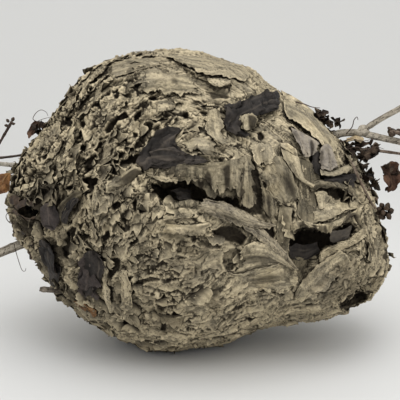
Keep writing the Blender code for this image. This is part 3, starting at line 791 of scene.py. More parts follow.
class Shell:
    """The relief, colours and hollows worked out for every vertex of a shell mesh."""

    def __init__(self, mesh, settings):
        self.settings = settings
        self.places = positions(mesh)
        self.outwards = normals(mesh)
        self.bands = band_directions(self.places, self.outwards)
        self.rough = roughness(self.places, self.outwards)
        self.depth, self.edge, self.tone_shift = np.zeros((3, len(self.places)))
        self.inward, self.slant, self.away = np.zeros((3, len(self.places)))
        self.growth = unit(np.cross(self.outwards, self.bands))
        self.growth *= np.where(self.growth @ UPWARD < 0.0, -1.0, 1.0)[:, None]
        self.add_layers()
        self.add_pits()
        self.add_waves()
        self.add_cracks()
        self.sink_under_leaves()
        self.carve_hollows()
        self.shade_hollows(mesh)
        streaks = drawn_out(self.places, self.bands, 0.0026, 0.020, 91, 2)
        self.tone = 0.5 + (0.85 - 0.25 * self.rough) * streaks + self.tone_shift
        # The places painted darker also go into depth, beside the painted shade
        self.depth = np.maximum(self.depth, darker_places(self.places, self.outwards))
        mesh_places = (self.places - self.outwards * self.inward[:, None]
                       + self.growth * self.slant[:, None] - TOWARD * self.away[:, None])
        mesh_places[:, 2] = np.maximum(mesh_places[:, 2], 0.0)
        move_vertices(mesh, mesh_places)
        store_shade(mesh, self.depth, self.edge, self.tone)

    def add_layers(self):
        """Scalloped steps from one layer of paper to the next, each layer of its own tone, with painted shade
        at each step's foot and a paler rim, partly painted highlight.
        """
        ragged = (0.04 + 0.08 * self.rough) * lumps(self.places, 0.0040, 66, 2)
        smooth = 1.0 - 0.6 * self.rough
        for size, reach, seed, count, share in LAYERS:
            stack = (drawn_out(self.places, self.bands, size, reach, seed, 2) + ragged + 1.0) * count
            number = np.floor(stack)
            above = stack - number
            step = self.settings.layer * share * smooth
            rim = (1.0 - ease(0.03, 0.22, above)) * ease(0.0, 0.02, above)
            self.inward += step * (ease(0.0, 0.85, above) - ease(0.90, 1.0, above) - 0.35 * rim)
            self.slant += step * 0.7 * ease(0.70, 0.92, above) * (1.0 - ease(0.93, 1.0, above))
            # The rim is paler, partly as a torn edge's own colour and partly as painted highlight; shade is
            # painted at the step's foot
            self.edge = np.maximum(self.edge, rim * 0.75 * share * smooth)
            self.depth = np.maximum(self.depth, 0.65 * share * ease(0.80, 0.93, above)
                                    * (1.0 - ease(0.96, 1.0, above)))
            layer = np.stack((number, np.zeros_like(number), np.zeros_like(number)), axis=-1).astype(int)
            self.tone_shift += (hashed(layer, 67) - 0.5) * 0.34 * share

    def add_pits(self):
        """Scooped pits with thin sharp walls between them, which slant up under their upper rims, with shade
        painted into them.
        """
        for size, share, shallow, seed in PITS:
            inside, gap, deep = pit_field(self.places, self.bands, self.rough, size, share, shallow, seed)
            self.inward += self.settings.pit_depth * inside
            self.slant += self.settings.pit_depth * inside * 0.6
            self.inward -= WALL_HEIGHT * (1.0 - ease(0.01, 0.12, gap)) * ease(0.10, 0.60, deep)
            # Painted shade in the pits
            self.depth = np.maximum(self.depth, np.clip((inside - 0.22) * 2.2, 0.0, 1.0))

    def add_waves(self):
        """Swellings, folds and sharp ridges of the whole envelope."""
        self.inward -= 0.0018 * lumps(self.places, 0.028, 81, 2)
        for size, reach, height, share, seed in RIDGES:
            ridge = 1.0 - np.abs(drawn_out(self.places, self.bands, size, reach, seed, 2)) * 1.4
            self.inward -= height * np.maximum(ridge, 0.0) ** 4 * (share + (1.0 - share) * self.rough)
        self.inward += 0.0014

    def add_cracks(self):
        """Cracks along the bands with shade painted into them, each with a thin curled lip beside it that
        gets a painted highlight.
        """
        for size, reach, seed, width in CRACKS:
            field = drawn_out(self.places, self.bands, size, reach, seed, 3)
            broken = ease(-0.05, 0.35, lumps(self.places, 0.010, seed + 30, 2))
            broken *= 0.45 + 0.55 * ease(0.02, 0.20, self.rough)
            crack = (1.0 - ease(width, 2.2 * width, np.abs(field))) * broken
            lip = ease(width, 2.0 * width, field) * (1.0 - ease(3.0 * width, 8.0 * width, field)) * broken
            self.inward += 0.0012 * crack - 0.0008 * lip
            # Painted shade in the crack and a painted highlight on its lip
            self.depth = np.maximum(self.depth, 0.85 * crack)
            self.edge = np.maximum(self.edge, 0.55 * lip)

    def sink_under_leaves(self):
        """Keeps the paper below the leaves that lie on it."""
        leaves = leaf_tree()
        for index in np.flatnonzero(self.places @ TOWARD > -0.03):
            distance = leaves.find_nearest(Vector(self.places[index]), LEAF_NEAR)[3]
            if distance is not None:
                self.inward[index] = max(self.inward[index], 0.0) + LEAF_PRESS * (1.0 - distance / LEAF_NEAR)

    def shade_hollows(self, mesh):
        """Paints shade into what lies lower than its surroundings and a highlight onto what stands out."""
        edges = np.empty(len(mesh.edges) * 2, np.int32)
        mesh.edges.foreach_get("vertices", edges)
        first, second = edges.reshape(-1, 2).T
        count = len(mesh.vertices)
        valence = np.bincount(first, minlength=count) + np.bincount(second, minlength=count)
        sunk = self.inward + 0.5 * self.away
        around = sunk
        for _ in range(CAVITY_PASSES):
            total = np.bincount(first, around[second], count) + np.bincount(second, around[first], count)
            around = total / np.maximum(valence, 1)
        cavity = sunk - around
        self.depth = np.maximum(self.depth, 0.72 * ease(0.00015, 0.0018, cavity))
        self.edge = np.maximum(self.edge, 0.95 * ease(0.00015, 0.0009, -cavity))

    def carve_hollows(self):
        """The hollows and slits that are carved where the front view shows them, with painted shade inside
        and a painted highlight on their raised rims.
        """
        across, down = seen_at(self.places)
        ragged = 1.3 * lumps(self.places, 0.006, 85, 3)
        front = self.outwards @ TOWARD > 0.02
        for outline, millimetres, dark, rim_height in HOLLOWS:
            near = front.copy()
            for place_seen, corners in zip((across, down), np.array(outline).T):
                near &= ((place_seen > corners.min() - HOLLOW_BORDER)
                         & (place_seen < corners.max() + HOLLOW_BORDER))
            chosen = np.flatnonzero(near)
            distance = outline_distance(across[chosen], down[chosen], outline) + ragged[chosen]
            inside = ease(-0.9, 0.9, -distance)
            self.away[chosen] = np.maximum(self.away[chosen], inside * millimetres * MM)
            # Painted shade inside the hollow
            self.depth[chosen] = np.maximum(self.depth[chosen], dark * ease(-0.3, 1.2, -distance))
            rim = ease(-3.2, -1.0, -distance) * ease(-0.4, 0.8, distance)
            self.inward[chosen] -= rim * rim_height * MM
            # Painted highlight on the raised rim
            self.edge[chosen] = np.maximum(self.edge[chosen], rim * min(1.0, rim_height) * 0.8)


def cut_part(mesh, *planes):
    """The part of a closed mesh in front of every plane (a point and a direction), closed again."""
    shape = bmesh.new()
    shape.from_mesh(mesh)
    for point, direction in planes:
        everything = shape.verts[:] + shape.edges[:] + shape.faces[:]
        cut = bmesh.ops.bisect_plane(shape, geom=everything, plane_co=point, plane_no=direction,
                                     clear_inner=True)
        rim = [item for item in cut["geom_cut"] if isinstance(item, bmesh.types.BMEdge)]
        bmesh.ops.holes_fill(shape, edges=rim, sides=0)
        for edge in rim:
            edge.smooth = False
    part = bpy.data.meshes.new("part")
    shape.to_mesh(part)
    shape.free()
    return part


class BuildShell(bpy.types.Operator):
    """Makes the nest's paper shell with its layers, pits and hollows"""

    bl_idname = "hornet_nest.shell"
    bl_label = "Paper Shell"

    def execute(self, context):
        paper = context.scene.nest_paper
        behind = MIDDLE - BACK_SEAM * TOWARD
        overlap = SEAM_OVERLAP * TOWARD
        margin = CUT_MARGIN * TOWARD
        front = cut_part(ground_mesh(paper.front_cell), (behind - margin, TOWARD))
        Shell(front, paper)
        back = cut_part(ground_mesh(paper.back_cell), (behind + margin, -TOWARD))
        Shell(back, paper)
        left, right = MIDDLE - SIDE_SEAM * ACROSS, MIDDLE + SIDE_SEAM * ACROSS
        parts = {
            "shell_front_left": (front, (behind, TOWARD), (left, -ACROSS)),
            "shell_front_middle": (front, (behind, TOWARD), (left, ACROSS), (right, -ACROSS)),
            "shell_front_right": (front, (behind, TOWARD), (right, ACROSS)),
            "shell_back": (back, (behind + overlap, -TOWARD)),
        }
        for name, (whole, *planes) in parts.items():
            piece = finished_piece(name, cut_part(whole, *planes), paper_finish("Nest Paper"), "nest_paper")
            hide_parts("nest_envelope")
        return {"FINISHED"}


# ---------------------------------------------------------------- flakes


@lru_cache(maxsize=None)
def flake_template(columns, rows):
    """One flake laid flat: along -1..1, out from root to tip 0..1, side (0 outer, 1 inner), and its faces."""
    flat = bmesh.new()
    bmesh.ops.create_grid(flat, x_segments=columns, y_segments=rows, size=1.0)
    bmesh.ops.solidify(flat, geom=flat.verts[:] + flat.edges[:] + flat.faces[:], thickness=1.0)
    bmesh.ops.recalc_face_normals(flat, faces=flat.faces)
    flat.verts.index_update()
    corners = np.array([vert.co for vert in flat.verts])
    faces = np.array([[vert.index for vert in face.verts] for face in flat.faces])
    flat.free()
    side = (corners[:, 2] - corners[:, 2].min()) / np.ptp(corners[:, 2])
    return corners[:, 0], (corners[:, 1] + 1.0) / 2.0, 1.0 - side, faces


def joined_copies(name, template_faces, places):
    """One mesh out of many copies of a template whose corners have been moved."""
    count, corners, _ = places.shape
    faces = (template_faces[None, :, :] + np.arange(count)[:, None, None] * corners).reshape(-1, 4)
    mesh = bpy.data.meshes.new(name)
    mesh.vertices.add(count * corners)
    mesh.loops.add(faces.size)
    mesh.loops.foreach_set("vertex_index", faces.astype(np.int32).ravel())
    mesh.polygons.add(len(faces))
    mesh.polygons.foreach_set("loop_start", np.arange(0, faces.size, 4, dtype=np.int32))
    mesh.vertices.foreach_set("co", places.astype(np.float32).ravel())
    mesh.update(calc_edges=True)
    return mesh


@lru_cache(maxsize=1)
def leaf_tree():
    """The CAD model's leaves, for finding which places they cover."""
    joined = bmesh.new()
    for node in LEAVES:
        joined.from_mesh(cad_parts[node].data)
    tree = BVHTree.FromBMesh(joined)
    joined.free()
    return tree


def turned_right(mesh):
    """Turns a closed mesh's faces outwards."""
    shape = bmesh.new()
    shape.from_mesh(mesh)
    bmesh.ops.recalc_face_normals(shape, faces=shape.faces)
    shape.to_mesh(mesh)
    shape.free()


# Loose flakes: the widest spacing, the lowest place that gets one, and how far they stay from leaves
WIDEST_SPACING = 0.012
FLAKE_HEIGHT = 0.0015
LEAF_CLEARANCE = 0.004

# How deep a flake is rooted, the nest's usual width that it bends with, and the gap left above the table
ROOT_DEPTH = 0.0014
NEST_WIDTH = 0.26
TABLE_GAP = 0.0002


def scattered(count, spacing_of, seed):
    """Points spread over the whole paper, no two nearer than their spacing (0 leaves a point out)."""
    random = np.random.default_rng(seed)
    mesh = ground().mesh
    mesh.calc_loop_triangles()
    corners = np.empty(len(mesh.loop_triangles) * 3, np.int32)
    mesh.loop_triangles.foreach_get("vertices", corners)
    corners = positions(mesh)[corners.reshape(-1, 3)]
    sides = np.cross(corners[:, 1] - corners[:, 0], corners[:, 2] - corners[:, 0])
    areas = np.linalg.norm(sides, axis=1)
    picks = random.choice(len(areas), size=count, p=areas / areas.sum())
    first, second = random.random((2, count))
    fold = first + second > 1.0
    first[fold], second[fold] = 1.0 - first[fold], 1.0 - second[fold]
    picked = corners[picks]
    spots = (picked[:, 0] + first[:, None] * (picked[:, 1] - picked[:, 0])
             + second[:, None] * (picked[:, 2] - picked[:, 0]))
    outwards = unit(sides[picks])
    spacing = spacing_of(spots, outwards, random) * (spots[:, 2] > FLAKE_HEIGHT)
    leaves = leaf_tree()
    for index in np.flatnonzero(spacing > 0.0):
        if leaves.find_nearest(Vector(spots[index]), LEAF_CLEARANCE)[0] is not None:
            spacing[index] = 0.0
    taken = {}
    kept = []
    keys = np.floor(spots / WIDEST_SPACING).astype(int)
    for index in np.flatnonzero(spacing > 0.0):
        x, y, z = keys[index]
        near = [other for dx, dy, dz in product((-1, 0, 1), repeat=3)
                for other in taken.get((x + dx, y + dy, z + dz), ())]
        if near and np.min(np.linalg.norm(spots[near] - spots[index], axis=1)) < spacing[index]:
            continue
        taken.setdefault((x, y, z), []).append(index)
        kept.append(index)
    return spots[kept], outwards[kept]


# Places of the front that carry leaves or smooth sheets, and so no loose flakes
BARE_PLACES = (
    ((136, 150), (157, 128), (176, 123), (174, 138), (168, 146), (190, 154), (206, 160), (180, 166),
     (154, 171), (138, 168)),
    ((104, 188), (125, 171), (143, 164), (144, 172), (126, 185), (108, 191)),
    ((220, 110), (255, 95), (280, 93), (281, 108), (258, 118), (240, 140), (228, 132)),
    ((150, 42), (200, 38), (262, 48), (305, 90), (330, 130), (300, 118), (270, 92), (240, 92), (170, 84)),
)


def clear_of_hollows(points, outwards, margin):
    """1 where a point is clear of the mouths and bare places, by the margin, and of the dark hollows."""
    across, down = seen_at(points)
    clear = np.ones(len(points))
    pits = [(outline, 0.3) for outline, _, dark, _ in HOLLOWS[len(MOUTHS):] if dark > 0.7]
    wide = [(outline, margin) for outline in (*MOUTHS, *BARE_PLACES)]
    for outline, border in wide + pits:
        inside = outline_distance(across, down, outline) < border
        clear[inside & (outwards @ TOWARD > -0.35)] = 0.0
    return clear


def build_flakes(name, spots, outwards, sizes, material, slot, columns, rows, seed):
    """Lays one torn flake, of columns by rows faces, on each spot.

    sizes gives arrays: half width, reach, lift, cup (all in metres), raggedness and turn.
    """
    random = np.random.default_rng(seed)
    along, out, side, faces = flake_template(columns, rows)
    wall = bpy.context.scene.nest_paper.wall
    count = len(spots)
    half, reach, lift, cup, rag, spin = (values[:, None] for values in sizes(random, count))
    bands = band_directions(spots, outwards)
    growth = np.cross(outwards, bands)
    growth *= np.where(growth @ UPWARD > 0.0, -1.0, 1.0)[:, None]
    turned = np.cos(spin) * bands + np.sin(spin) * growth
    growth = np.cos(spin) * growth - np.sin(spin) * bands
    where = np.stack(np.broadcast_arrays(along * half, out * reach, random.uniform(0.0, 1.0, (count, 1))), -1)
    torn = lumps(where * (1.0, 0.3, 1.0), 0.0032, seed, 3)
    buckle = lumps(where, 0.0048, seed + 5, 2)
    sway = random.uniform(-0.4, 0.4, (count, 1))
    lean = random.uniform(-0.5, 0.5, (count, 1))
    x = along * half * (0.70 + 0.30 * np.sqrt(out)) * (1.0 - 0.30 * out**3) + sway * reach * out
    y = reach * (out * (1.0 + rag * torn) - 0.35 * along**2 * out - 0.3)
    z = (-ROOT_DEPTH + (lift + ROOT_DEPTH) * out**1.1 * (1.0 + lean * along)
         + cup * (along**2 * out + 0.6 * out**4) + 0.32 * buckle * lift)
    z = z - (x**2 + y**2) / NEST_WIDTH - side * wall
    places = (spots[:, None, :] + x[..., None] * turned[:, None, :] + y[..., None] * growth[:, None, :]
              + z[..., None] * outwards[:, None, :])
    places[..., 2] = np.maximum(places[..., 2], TABLE_GAP)
    mesh = joined_copies(name, faces, places)
    # Darker places of the front, and some flakes darker at random
    dark_patches = 0.9 * darker_places(spots, outwards)[:, None]
    dark_patches = np.maximum(dark_patches, 0.50 * (random.random((count, 1)) < 0.12))
    fibres = lumps(where * (1.0, 0.15, 1.0), 0.0022, seed + 8, 1)
    # Tone: random for each flake, fibres, and lighter on the flake's outward buckles and darker in its inward
    # ones, painted light and shade
    tone = 0.5 + 0.34 * (random.random((count, 1)) - 0.5) + 0.22 * buckle + 0.2 * fibres
    # Depth: painted shade at each flake's root and on its underside, with the places painted darker and the
    # flakes darkened at random
    depth = np.maximum(0.80 * (1.0 - out) ** 1.7 + 0.45 * side, dark_patches * (1.0 - 0.4 * out))
    # Edge: the torn tip paler, partly its own colour and partly painted highlight
    edge = np.where((out > 0.95) & (side < 0.5), 0.9, 0.0) * np.ones((count, 1))
    store_shade(mesh, depth.ravel(), edge.ravel(), tone.ravel())
    return finished_piece(name, mesh, material, slot)


def drawn_sizes(half, reach, factors, lift, cup, rag, turn):
    """A function that draws the measures of each flake for build_flakes.

    factors are the least and greatest size against half and reach. lift and cup are each a measure
    with its least and greatest factor, and turn draws one turn for each flake.
    """
    def sizes(random, count):
        size = random.uniform(*factors, count)
        return (half * size, reach * size, lift[0] * random.uniform(*lift[1:], count),
                cup[0] * random.uniform(*cup[1:], count), np.full(count, rag), turn(random, count))

    return sizes


def flakes_kept(points, outwards, random, chance):
    """1 at the places that get a flake: by chance, clear of the hollows and of the deep pits."""
    kept = random.random(len(points)) < chance
    bands = band_directions(points, outwards)
    inside, _, _ = pit_field(points, bands, roughness(points, outwards), *PITS[0])
    return kept * (inside < 0.42) * clear_of_hollows(points, outwards, 1.5)


def flake_look():
    """The material and the slot of loose paper flakes."""
    return paper_finish("Nest Flakes", lightness=1.12), "nest_paper"


class BuildRoughFlakes(bpy.types.Operator):
    """Covers the rough paper with torn, cupped flakes that leave dark pockets under their edges"""

    bl_idname = "hornet_nest.rough_flakes"
    bl_label = "Rough Flakes"

    def execute(self, context):
        def spacing(points, outwards, random):
            chance = 0.34 * roughness(points, outwards) ** 2 + 0.005
            kept = flakes_kept(points, outwards, random, chance)
            return random.uniform(0.0045, 0.0110, len(points)) * kept

        sizes = drawn_sizes(half=0.0048, reach=0.0050, factors=(0.5, 2.0), lift=(0.0021, 0.2, 1.3),
                            cup=(0.0012, -0.8, 1.2), rag=0.85,
                            turn=lambda random, count: random.normal(0.0, 0.65, count))
        spots, outwards = scattered(12000, spacing, seed=3)
        build_flakes("rough_flakes", spots, outwards, sizes, *flake_look(), columns=8, rows=4, seed=20)
        return {"FINISHED"}


class BuildBroadFlakes(bpy.types.Operator):
    """Lays wider flakes of paper, most of them over the rougher parts"""

    bl_idname = "hornet_nest.broad_flakes"
    bl_label = "Broad Flakes"

    def execute(self, context):
        def spacing(points, outwards, random):
            chance = 0.11 * ease(0.25, 0.60, roughness(points, outwards)) + 0.008
            return 0.0120 * flakes_kept(points, outwards, random, chance)

        sizes = drawn_sizes(half=0.0095, reach=0.0075, factors=(0.5, 1.3), lift=(0.0015, 0.3, 1.6),
                            cup=(0.0007, -0.5, 1.0), rag=0.34,
                            turn=lambda random, count: random.normal(0.0, 0.35, count))
        spots, outwards = scattered(9000, spacing, seed=5)
        build_flakes("broad_flakes", spots, outwards, sizes, *flake_look(), columns=12, rows=6, seed=31)
        return {"FINISHED"}


# ---------------------------------------------------------------- sheets laid one by one


def curve_through(points, samples):
    """Places evenly along a smooth curve through the points (Catmull-Rom, ends carried on)."""
    points = np.asarray(points, float)
    padded = np.concatenate((2 * points[:1] - points[1:2], points, 2 * points[-1:] - points[-2:-1]))
    run = np.linspace(0.0, len(points) - 1.0001, samples)
    start = np.floor(run).astype(int)
    t = (run - start).reshape(-1, *([1] * (points.ndim - 1)))
    p0, p1, p2, p3 = (padded[start + offset] for offset in range(4))
    return 0.5 * (2 * p1 + (p2 - p0) * t + (2 * p0 - 5 * p1 + 4 * p2 - p3) * t**2
                  + (3 * p1 - p0 - 3 * p2 + p3) * t**3)


def ragged_edge(where, index, seed):
    """How far a torn edge pulls back, for an amount of 1, with teeth and larger bites."""
    teeth = lumps(where, 0.0045, seed + 20 + index, 3)
    bites = lumps(where, 0.012, seed + 40 + index, 2)
    nicks = lumps(where, 0.0024, seed + 50 + index, 2)
    return 1.4 + 2.4 * teeth + 2.0 * bites + 1.3 * nicks


# Sheets: size of their faces in picture units, and spacing and height of their layers
SHEET_CELL = 0.8
SHEET_LAYER_SPACING = 0.0030
SHEET_LAYER_MILLIMETRES = 0.55


def build_sheet(name, rows, material, slot, seed, rag, crumple, thickness=0.4, stripes="down", layered=1.0,
                folds=0.4):
    """A thin crumpled sheet through rows of (across, down, lift) places, from its root to its free edge.

    rag is how ragged the left, right, first-row and last-row edges are, in picture units;
    crumple, folds, thickness and the lifts are in millimetres. layered is how much the sheet is stepped.
    """
    control = np.array(rows, float)
    sizes = [np.linalg.norm(np.diff(control[..., :2], axis=axis), axis=-1).sum(axis=axis).max()
             for axis in (0, 1)]
    count_down, count_across = (max(3, int(size / SHEET_CELL)) + 1 for size in sizes)
    fine = curve_through(control, count_down)
    fine = curve_through(fine.transpose(1, 0, 2), count_across).transpose(1, 0, 2)
    u = np.linspace(0.0, 1.0, count_across)[None, :]
    v = np.linspace(0.0, 1.0, count_down)[:, None]
    where = np.stack(np.broadcast_arrays(u * sizes[1] * UNIT, v * sizes[0] * UNIT, seed * 0.37), -1)
    down_run, across_run = np.gradient(fine[..., :2], axis=0), np.gradient(fine[..., :2], axis=1)
    left, right, first, last = (ragged_edge(where, index, seed) * amount for index, amount in enumerate(rag))
    pull_across = left * (1 - u) ** 6 - right * u**6
    pull_down = first * (1 - v) ** 6 - last * v**4
    fine[..., :2] += pull_across[..., None] * unit(across_run) + pull_down[..., None] * unit(down_run)
    stretch = (1.0, 0.10, 1.0) if stripes == "down" else (0.10, 1.0, 1.0)
    tone = 0.5 + 0.42 * lumps(where * stretch, 0.0022, seed + 3, 2)
    creases = lumps(where * stretch, 0.0035, seed + 9, 2)
    fine[..., 2] += crumple * (lumps(where, 0.007, seed, 3) + 0.5 * creases)
    fold_stretch = (1.0, 0.2, 1.0) if stripes == "down" else (0.2, 1.0, 1.0)
    long_folds = lumps(where * fold_stretch, 0.0075, seed + 11, 2) * ease(0.0, 0.35, v)
    fine[..., 2] += folds * long_folds
    run = v * sizes[0] if stripes == "across" else u * sizes[1]
    stack = (run * UNIT / SHEET_LAYER_SPACING
             + 1.3 * lumps(where, 0.014, seed + 60, 2) + 0.25 * lumps(where, 0.004, seed + 61, 2))
    number = np.floor(stack).astype(int)
    above = stack - number
    rim = (1.0 - ease(0.04, 0.24, above)) * ease(0.0, 0.03, above)
    step = ease(0.0, 0.85, above) - ease(0.90, 1.0, above) - 0.3 * rim
    fine[..., 2] -= SHEET_LAYER_MILLIMETRES * layered * step
    layer = np.stack((number, np.full_like(number, seed), np.zeros_like(number)), axis=-1)
    tone = tone + 0.36 * layered * (hashed(layer, 68) - 0.5)
    gap = layered * ease(0.80, 0.94, above) * (1.0 - ease(0.96, 1.0, above))
    smudge = ease(0.25, 0.9, lumps(where, 0.009, seed + 62, 3))
    toward = ground().skin_toward(fine[..., 0], fine[..., 1]) + fine[..., 2] * MM
    spots = place(fine[..., 0], fine[..., 1], toward)
    outwards = unit(np.cross(np.gradient(spots, axis=1), -np.gradient(spots, axis=0)))
    outwards *= np.where(np.sum(outwards * TOWARD) < 0.0, -1.0, 1.0)
    border = np.maximum(ease(0.93, 1.0, v), ease(0.96, 1.0, np.abs(2 * u - 1)))
    along, out, side, faces = flake_template(count_across - 1, count_down - 1)
    column = np.rint((along + 1.0) / 2.0 * (count_across - 1)).astype(int)
    row = np.rint(out * (count_down - 1)).astype(int)
    places = spots[row, column] - side[:, None] * thickness * MM * outwards[row, column]
    places[:, 2] = np.maximum(places[:, 2], TABLE_GAP)
    mesh = joined_copies(name, faces, places[None])
    # Pale: the torn borders and layer rims, partly their own colour and partly painted highlight
    pale = np.maximum(0.8 * border, 0.7 * layered * rim)
    # Dark: painted shade at the foot of each layer step, in the fold valleys and on the underside, with
    # random smudges
    dark = np.maximum(0.7 * gap, 0.45 * smudge)
    dark = np.maximum(dark, min(0.75, 0.35 * folds) * ease(0.0, 0.7, -long_folds))
    store_shade(mesh, np.maximum(0.45 * side, dark[row, column]), pale[row, column], tone[row, column])
    turned_right(mesh)
    return finished_piece(name, mesh, material, slot)


